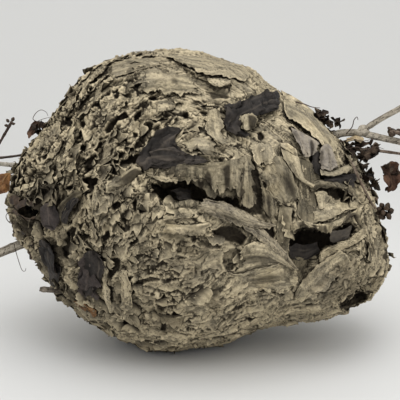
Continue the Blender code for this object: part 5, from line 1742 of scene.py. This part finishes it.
def build_leaf(node, finish, crumple, ragged, pitch, seed):
    """A crumpled, veined leaf with a ragged edge in place of the CAD model's plain one."""
    mesh = divided_copy(node, 3)
    places = positions(mesh)
    middle, (long_way, broad_way, thin_way) = own_axes(places)
    offset = places - middle
    length, breadth = offset @ long_way, offset @ broad_way
    flat = np.stack((length, breadth, np.full_like(length, seed * 0.31)), axis=-1)
    reach = np.abs(length).max()
    half = np.maximum(np.abs(breadth).max(), 1e-4)
    side_veins = np.abs(((length + 0.9 * np.abs(breadth)) / (pitch * MM)) % 1.0 - 0.5)
    ribs = np.maximum(ease(0.10, 0.0, np.abs(breadth) / half), 0.6 * ease(0.10, 0.0, side_veins))
    folds = lumps(flat, 0.011, seed, 2) + 0.5 * lumps(flat * (0.5, 1.0, 1.0), 0.0045, seed + 1, 2)
    folds = folds - 0.9 * ease(0.30, 0.0, np.abs(lumps(flat * (0.7, 1.0, 1.0), 0.0085, seed + 7, 2)))
    cupped = 0.9 * (np.abs(breadth) / half) ** 2
    lift = crumple * MM * (folds + cupped - 0.35) + 0.0003 * ribs
    tug = ragged * MM * np.stack([lumps(flat, 0.0050, seed + 2 + axis, 3) for axis in range(2)], axis=-1)
    outer = np.hypot(length / reach, breadth / half)
    loose = 0.3 + 0.7 * ease(0.35, 1.0, outer)[:, None]
    side = np.where(thin_way @ TOWARD < 0.0, -1.0, 1.0)
    places = (places + (lift * side)[:, None] * thin_way
              + (tug[:, :1] * long_way + tug[:, 1:] * broad_way) * loose)
    places[:, 2] = np.maximum(places[:, 2], LEAF_GAP)
    move_vertices(mesh, places)
    streaks = lumps(flat * (0.3, 1.0, 1.0), 0.002, seed + 5, 2)
    # Depth is painted shade in the fold valleys; edge is the paler rim of the leaf
    store_shade(mesh, 0.6 * ease(0.2, 0.9, -folds), 0.6 * ease(0.80, 1.1, outer),
                0.5 + 0.45 * ribs + 0.12 * streaks)
    piece = finished_piece(node + "_crumpled", mesh, *leaf_look(finish))
    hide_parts(node)


class BuildLeaves(bpy.types.Operator):
    """Makes the crumpled dead leaves on the paper and at the twigs"""

    bl_idname = "hornet_nest.leaves"
    bl_label = "Leaves"

    def execute(self, context):
        for number, (node, (finish, crumple, ragged, pitch)) in enumerate(LEAVES.items()):
            build_leaf(node, finish, crumple, ragged, pitch, 200 + 10 * number)
        return {"FINISHED"}


# ---------------------------------------------------------------- twigs, buds and tendrils


@lru_cache(maxsize=None)
def bark_finish(name, colour, second, crack):
    """Bark: two weathered colours in long streaks, dark cracks and small pale pores."""
    mat = Finish(name)
    where = mat.object_place()
    depth, edge, tone = mat.channels("shade")
    patches = mat.noise(where, 130.0, detail=4.0, roughness=0.6)
    grains = mat.noise(where, 1000.0, detail=3.0, roughness=0.65)
    base = mat.mix(mat.ramp(tone, (0.25, 0.0), (0.75, 1.0)), colour, second)
    base = mat.mix(mat.ramp(patches, (0.55, 0.0), (0.72, 0.6)), base, dimmed(second, 1.35))
    base = mat.mix(1.0, base, mat.ramp(grains, (0.30, 0.70), (0.70, 1.22)), blend="MULTIPLY")
    pores = mat.noise(where, 620.0, detail=2.0, roughness=0.5)
    base = mat.mix(mat.ramp(pores, (0.33, 0.9), (0.41, 0.0)), base, crack)
    base = mat.mix(edge * 0.7, base, dimmed(second, 1.6))
    base = mat.mix(depth, base, crack)
    height = tone + grains * 0.4
    return mat.finish(base, roughness=0.82, normal=mat.bump(height, distance=0.0006, strength=0.8))


# The twigs: CAD node, finish, how deep the bark's relief is in millimetres, spacing of knots in millimetres
TWIGS = {
    "right_branch_stub": ("grey", 0.30, 21.0),
    "right_branch_upper": ("grey", 0.25, 26.0),
    "right_branch_lower": ("grey", 0.25, 23.0),
    "right_bud_twig": ("brown", 0.20, 14.0),
    "right_thin_twig": ("brown", 0.15, 14.0),
    "seed_stalk": ("brown", 0.20, 11.0),
    "left_thick_stub": ("grey", 0.40, 16.0),
    "left_short_stub": ("dun", 0.40, 11.0),
    "left_pale_stub": ("pale", 0.30, 12.0),
    "left_thin_twig": ("dark", 0.18, 8.0),
    "left_bud_shoot": ("dark", 0.20, 8.0),
}


# Finishes of bark: its two weathered colours, colour of its cracks
BARK_LOOKS = {
    "grey": ((0.27, 0.235, 0.185), (0.43, 0.385, 0.31), (0.035, 0.028, 0.022)),
    "brown": ((0.135, 0.095, 0.068), (0.25, 0.20, 0.155), (0.030, 0.022, 0.017)),
    "dark": ((0.055, 0.038, 0.030), (0.12, 0.09, 0.07), (0.015, 0.011, 0.009)),
    "dun": ((0.150, 0.125, 0.100), (0.26, 0.225, 0.18), (0.030, 0.022, 0.017)),
    "pale": ((0.36, 0.32, 0.26), (0.46, 0.43, 0.37), (0.09, 0.07, 0.055)),
}


def bark_look(kind):
    """The material and the slot of this kind of bark."""
    return bark_finish(kind.title() + " Bark", *BARK_LOOKS[kind]), "bark"


def build_twig(node, finish, relief, pitch, seed):
    """A twig with streaked bark, knots and narrow rings in place of the CAD model's plain one."""
    mesh = divided_copy(node, 3)
    places = positions(mesh)
    outwards = normals(mesh)
    middle, axes = own_axes(places)
    length = (places - middle) @ axes[0]
    along = places - 0.85 * length[:, None] * axes[0]
    streaks = lumps(along, 0.0022, seed, 3)
    warts = lumps(places, 0.0018, seed + 3, 2)
    station = length / (pitch * MM) + 0.3 * hashed(np.array((seed, 0, 0)), 3)
    away = (station - np.rint(station)) * pitch
    knots = np.exp(-(away / 1.3) ** 2)
    ring = np.exp(-((np.abs(away) - 2.4) / 0.35) ** 2)
    lift = relief * MM * (0.6 * streaks + 0.35 * warts + 1.0 * knots - 0.8 * ring)
    move_vertices(mesh, places + outwards * lift[:, None])
    across_marks = lumps(places + 2.4 * length[:, None] * axes[0], 0.0026, seed + 6, 2)
    depth = np.maximum(0.40 * ease(0.15, 0.9, -streaks), 0.65 * ring)
    depth = np.maximum(depth, 0.75 * ease(0.42, 0.70, across_marks))
    store_shade(mesh, depth, 0.5 * ease(0.5, 1.0, warts), 0.5 + 0.45 * streaks)
    piece = finished_piece(node + "_bark", mesh, *bark_look(finish))
    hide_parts(node)


class BuildTwigs(bpy.types.Operator):
    """Makes the twigs and branch stubs that the nest grew around"""

    bl_idname = "hornet_nest.twigs"
    bl_label = "Twigs"

    def execute(self, context):
        for number, (node, (finish, relief, pitch)) in enumerate(TWIGS.items()):
            build_twig(node, finish, relief, pitch, 400 + 10 * number)
        return {"FINISHED"}


def toward_of(node, across, down):
    """How far towards the viewer a CAD node is, where the front view shows it nearest this place."""
    places = positions(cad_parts[node].data)
    seen_across, seen_down = seen_at(places)
    nearest = np.argsort(np.hypot(seen_across - across, seen_down - down))[:6]
    return float(np.mean((places[nearest] - MIDDLE) @ TOWARD))


def pod(shape, spot, direction, length, width, rng):
    """Adds one small pointed bud or seed capsule, of this half width, to a bmesh, from its foot outwards."""
    turn = Vector(direction).to_track_quat("Z", "Y").to_matrix().to_4x4()
    size = Matrix.Diagonal((width, width, length / 2.0, 1.0))
    spin = Matrix.Rotation(rng.uniform(0.0, math.tau), 4, "Z")
    made = bmesh.ops.create_uvsphere(shape, u_segments=12, v_segments=9, radius=1.0)
    for vert in made["verts"]:
        taper = 1.0 - 0.45 * max(0.0, vert.co.z) ** 1.5
        ridge = 1.0 + 0.10 * math.cos(5.0 * math.atan2(vert.co.y, vert.co.x))
        vert.co.x *= taper * ridge
        vert.co.y *= taper * ridge
    foot = Matrix.Translation(Vector(spot) + Vector(direction) * length * 0.42)
    bmesh.ops.transform(shape, matrix=foot @ turn @ spin @ size, verts=made["verts"])


# Buds: the twig they sit on, and for each its place in the front view, its lean (across, up) and length in mm
BUDS = {
    "left_bud_shoot": ((12, 121, (0.4, 0.9), 4.0), (9, 122, (-0.6, 0.7), 3.6), (8, 126, (-0.9, 0.2), 3.4),
                       (12, 124, (0.9, 0.1), 3.2)),
    "right_bud_twig": ((388, 132, (0.9, 0.2), 7.0), (389, 134, (0.9, -0.1), 6.0),
                       (391, 130, (-0.5, 0.5), 4.0), (396, 132, (0.8, 0.2), 6.0)),
    "seed_stalk": ((368, 190, (0.9, 0.3), 3.0), (371, 203, (-0.8, 0.5), 2.6), (362, 178, (-0.7, 0.6), 2.6),
                   (375, 200, (0.7, 0.6), 3.4)),
}

# Tendrils and thin dry stalks: places of the front view as (across, down, millimetres towards the viewer),
# and radius in millimetres
TENDRILS = (
    (((46, 126, -2), (38, 122, 2), (33, 119, 4), (36, 113, 6), (41, 110, 8), (46, 112, 8),
      (48, 116, 6)), 0.35),
    (((36, 122, 0), (43, 119, 3), (51, 117, 2)), 0.30),
    (((14, 244, 12), (16, 252, 14), (19, 262, 16), (22, 270, 16), (25, 271, 15), (26, 268, 14)), 0.35),
    (((14, 224, 14), (9, 222, 16), (6, 217, 18), (8, 213, 17), (14, 212, 14)), 0.40),
    (((346, 134, 6), (352, 127, 8), (354, 120, 10), (357, 117, 11), (358, 120, 12)), 0.45),
    (((296, 102, 38), (304, 104, 40), (312, 107, 38), (320, 108, 34)), 0.50),
    (((340, 142, 22), (352, 139, 24), (362, 141, 22), (374, 139, 18)), 0.40),
    (((345, 150, 26), (356, 147, 28), (366, 149, 24), (376, 147, 20), (384, 149, 16)), 0.35),
    (((58, 148, 30), (48, 152, 28), (38, 158, 20), (28, 160, 12), (18, 158, 6)), 0.40),
)


# The seed head: how many capsules, and the turn from one to the next that spreads them evenly
CAPSULES = 15
GOLDEN_ANGLE = 2.39996

# The fork's swellings: across, down, lean (across, up), length and half width in millimetres
FORK_SWELLINGS = ((355, 133, (1.0, 0.1), 13.0, 3.6), (358, 132, (0.8, 0.6), 9.0, 3.0))


# Steps of a tendril between two of its places
TUBE_STEPS = 6


def tube(points, radius):
    """A thin round stalk along a smooth curve through the points, thinner towards its end, as a mesh."""
    corners = [place(across, down, millimetres * MM) for across, down, millimetres in points]
    route = curve_through(corners, TUBE_STEPS * len(points))
    curve = bpy.data.curves.new("stalk", "CURVE")
    curve.dimensions = "3D"
    curve.bevel_depth = radius
    curve.bevel_resolution = 2
    curve.use_fill_caps = True
    spline = curve.splines.new("POLY")
    spline.points.add(len(route) - 1)
    for number, (point, spot) in enumerate(zip(spline.points, route)):
        point.co = (*spot, 1.0)
        point.radius = 1.0 - 0.5 * number / len(route)
    obj = bpy.data.objects.new("stalk", curve)
    bpy.context.scene.collection.objects.link(obj)
    return applied(obj)


# Heaps of small dry leaf bits: across, down, half width, half height, how many, CAD node that sets the depth
LEAF_BITS = (
    (360, 150, 17, 9, 34, "leaf_right_mass"), (322, 118, 8, 8, 12, "leaf_right_dark"),
    (334, 122, 9, 4, 8, "leaf_right_dark"), (372, 181, 5, 9, 7, "leaf_right_strip"),
    (391, 172, 7, 9, 6, "leaf_right_serrated"), (366, 170, 8, 8, 10, "leaf_right_mass"),
    (38, 128, 9, 6, 8, "leaf_left_small"), (4, 180, 4, 6, 3, "leaf_left_small"),
)


class BuildLeafBits(bpy.types.Operator):
    """Heaps small dry bits of leaf around the twigs at both ends"""

    bl_idname = "hornet_nest.leaf_bits"
    bl_label = "Leaf Bits"

    def execute(self, context):
        rng = np.random.default_rng(61)
        spots = []
        for across, down, wide, high, count, node in LEAF_BITS:
            angles, reach = rng.uniform(0.0, math.tau, count), np.sqrt(rng.random(count))
            level = toward_of(node, across, down) + rng.uniform(-0.008, 0.004, count)
            spots.append(place(across + wide * reach * np.cos(angles),
                               down + high * reach * np.sin(angles), level))
        spots = np.concatenate(spots)
        outwards = unit(TOWARD + rng.normal(0.0, 0.55, (len(spots), 3)))
        sizes = drawn_sizes(half=0.0023, reach=0.0042, factors=(0.5, 1.5), lift=(0.0016, 0.5, 1.5),
                            cup=(0.0022, -0.5, 1.5), rag=0.6,
                            turn=lambda random, count: random.uniform(0.0, math.tau, count))
        build_flakes("leaf_bits", spots, outwards, sizes, *leaf_look("umber"), columns=6, rows=5, seed=63)
        return {"FINISHED"}


class BuildBudsAndTendrils(bpy.types.Operator):
    """Adds the seed head, the buds, the thin curled tendrils and the knot at the fork"""

    bl_idname = "hornet_nest.buds"
    bl_label = "Seed Head, Buds and Tendrils"

    def execute(self, context):
        rng = np.random.default_rng(77)
        seeds = bmesh.new()
        low, high = (np.array(corner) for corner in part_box("seed_cluster"))
        middle, radius = (low + high) / 2.0, float(np.min(high - low)) / 2.0
        for number in range(CAPSULES):
            height = 1.0 - 2.0 * (number + 0.5) / CAPSULES
            angle = number * GOLDEN_ANGLE
            flat = math.sqrt(1.0 - height**2)
            direction = np.array((flat * math.cos(angle), flat * math.sin(angle), height))
            length = radius * rng.uniform(1.0, 1.3)
            pod(seeds, middle + direction * (radius * 1.9 - length), direction, length, radius * 0.50, rng)
        umber, _ = leaf_look("umber")
        self.keep(seeds, "seed_head_capsules", umber, "dark_leaf", replaces="seed_cluster")
        buds = bmesh.new()
        for node, items in BUDS.items():
            for across, down, (lean_across, lean_up), millimetres in items:
                spot = place(across, down, toward_of(node, across, down))
                direction = unit(lean_across * ACROSS + lean_up * UPWARD + rng.uniform(-0.3, 0.3) * TOWARD)
                pod(buds, spot, direction, millimetres * MM, 0.36 * millimetres * MM, rng)
        self.keep(buds, "twig_buds", umber, "brown_leaf")
        stalks = bmesh.new()
        for points, radius in TENDRILS:
            stalks.from_mesh(tube(points, radius * MM))
        self.keep(stalks, "tendrils", *bark_look("dark"))
        self.build_fork(rng)
        return {"FINISHED"}

    def build_fork(self, rng):
        """The swollen, scarred knot where the right branch forks."""
        knot = bmesh.new()
        for across, down, lean, length, width in FORK_SWELLINGS:
            spot = place(across, down, toward_of("right_branch_stub", across, down))
            pod(knot, spot, unit(lean[0] * ACROSS + lean[1] * UPWARD), length * MM, width * MM, rng)
        for vert in knot.verts:
            vert.co += vert.normal * float(lumps(np.array([vert.co]), 0.003, 33, 2)[0]) * 0.0004
        self.keep(knot, "right_fork_knot", *bark_look("grey"))

    def keep(self, shape, name, material, slot, replaces=None):
        bmesh.ops.recalc_face_normals(shape, faces=shape.faces)
        mesh = bpy.data.meshes.new(name)
        shape.to_mesh(mesh)
        shape.free()
        places = positions(mesh)
        store_shade(mesh, 0.3 * ease(0.0, 0.8, lumps(places, 0.003, 7)), 0.0,
                    0.5 + 0.4 * lumps(places, 0.0015, 9, 2))
        piece = finished_piece(name, mesh, material, slot)
        if replaces:
            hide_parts(replaces)


# ---------------------------------------------------------------- the stage


# The table's sweep in metres: length, start, where it bends up, the bend's radius, half its width; its steps
SWEEP_RUN, SWEEP_START = 4.6, -1.6
SWEEP_FLAT, SWEEP_RADIUS = 0.9, 0.9
SWEEP_HALF_WIDTH = 3.0
SWEEP_STEPS = 60

# Soft square lamps: name, place, side in metres, power against the top lamp's; and the place they aim at
LAMPS = (("top lamp", (0.04, -0.46, 1.25), 1.0, 1.0), ("side lamp", (0.9, -0.9, 0.9), 0.8, 0.15))
LAMP_AIM = (0.0, 0.0, 0.1)

# Width of the camera's sensor in millimetres
SENSOR_WIDTH = 36.0


class BuildStage(bpy.types.Operator):
    """Sets up the pale table that curves up behind, the lamps and the camera"""

    bl_idname = "hornet_nest.stage"
    bl_label = "Table, Lamps and Camera"

    def execute(self, context):
        self.build_table(context)
        self.build_lamps(context)
        self.build_camera(context)
        return {"FINISHED"}

    def build_table(self, context):
        sweep = bmesh.new()
        bmesh.ops.create_grid(sweep, x_segments=2, y_segments=SWEEP_STEPS, size=1.0)
        for vert in sweep.verts:
            run = (vert.co.y + 1.0) / 2.0 * SWEEP_RUN + SWEEP_START
            bend = max(0.0, run - SWEEP_FLAT)
            angle = min(bend / SWEEP_RADIUS, math.pi / 2)
            rise = SWEEP_RADIUS * (1.0 - math.cos(angle)) + max(0.0, bend - SWEEP_RADIUS * math.pi / 2)
            far = min(run, SWEEP_FLAT) + SWEEP_RADIUS * math.sin(angle)
            vert.co = Vector((vert.co.x * SWEEP_HALF_WIDTH, far, rise))
        table = loose_object("table", sweep)
        mat = Finish("Pale Table")
        grey = mat.noise(mat.object_place(), 6.0, detail=2.0)
        colour = mat.mix(grey * 0.06, tuple(context.scene.nest_stage.table), (0.6, 0.6, 0.58))
        table.data.materials.append(mat.finish(colour, roughness=0.55))
        table.data.shade_smooth()

    def build_lamps(self, context):
        settings = context.scene.nest_stage
        world = bpy.data.worlds.new("Studio")
        world.use_nodes = True
        background = world.node_tree.nodes["Background"]
        background.inputs["Color"].default_value = (1.0, 1.0, 0.99, 1.0)
        background.inputs["Strength"].default_value = settings.fill_strength
        context.scene.world = world
        for name, where, size, share in LAMPS:
            data = bpy.data.lights.new(name, "AREA")
            data.shape = "SQUARE"
            data.size = size
            data.energy = settings.top_power * share
            lamp = bpy.data.objects.new(name, data)
            turn = (Vector(LAMP_AIM) - Vector(where)).to_track_quat("-Z", "Y").to_matrix().to_4x4()
            lamp.matrix_world = Matrix.Translation(where) @ turn
            context.scene.collection.objects.link(lamp)

    def build_camera(self, context):
        data = bpy.data.cameras.new("front view")
        data.sensor_width = SENSOR_WIDTH
        data.lens = SENSOR_WIDTH * VIEW_DISTANCE / (VIEW_WIDTH * UNIT)
        camera = bpy.data.objects.new("front view", data)
        turn = Matrix((ACROSS, UPWARD, TOWARD)).transposed().to_4x4()
        camera.matrix_world = Matrix.Translation(EYE) @ turn
        context.scene.collection.objects.link(camera)
        context.scene.camera = camera
        context.scene.view_settings.view_transform = "Standard"


# ---------------------------------------------------------------- panel and run


STEPS = (BuildShell, BuildRoughFlakes, BuildBroadFlakes, BuildSheets, BuildLeaves, BuildLeafBits, BuildTwigs,
         BuildBudsAndTendrils, BuildStage)


class NestPanel(bpy.types.Panel):
    """Lists the nest's building steps in the sidebar"""

    bl_idname = "VIEW3D_PT_hornet_nest"
    bl_label = "Hornet Nest"
    bl_space_type = "VIEW_3D"
    bl_region_type = "UI"
    bl_category = "Hornet Nest"

    def draw(self, context):
        for step in STEPS:
            self.layout.operator(step.bl_idname)
        for settings in (context.scene.nest_paper, context.scene.nest_stage):
            for name in settings.__annotations__:
                self.layout.prop(settings, name)


CLASSES = (NestPaperSettings, NestStageSettings, *STEPS, NestPanel)


def register():
    for item in CLASSES:
        bpy.utils.register_class(item)
    bpy.types.Scene.nest_paper = bpy.props.PointerProperty(type=NestPaperSettings)
    bpy.types.Scene.nest_stage = bpy.props.PointerProperty(type=NestStageSettings)


def unregister():
    del bpy.types.Scene.nest_stage
    del bpy.types.Scene.nest_paper
    for item in reversed(CLASSES):
        bpy.utils.unregister_class(item)


def main():
    register()
    for step in STEPS:
        group, name = step.bl_idname.split(".")
        getattr(getattr(bpy.ops, group), name)()


if __name__ == "__main__":
    main()
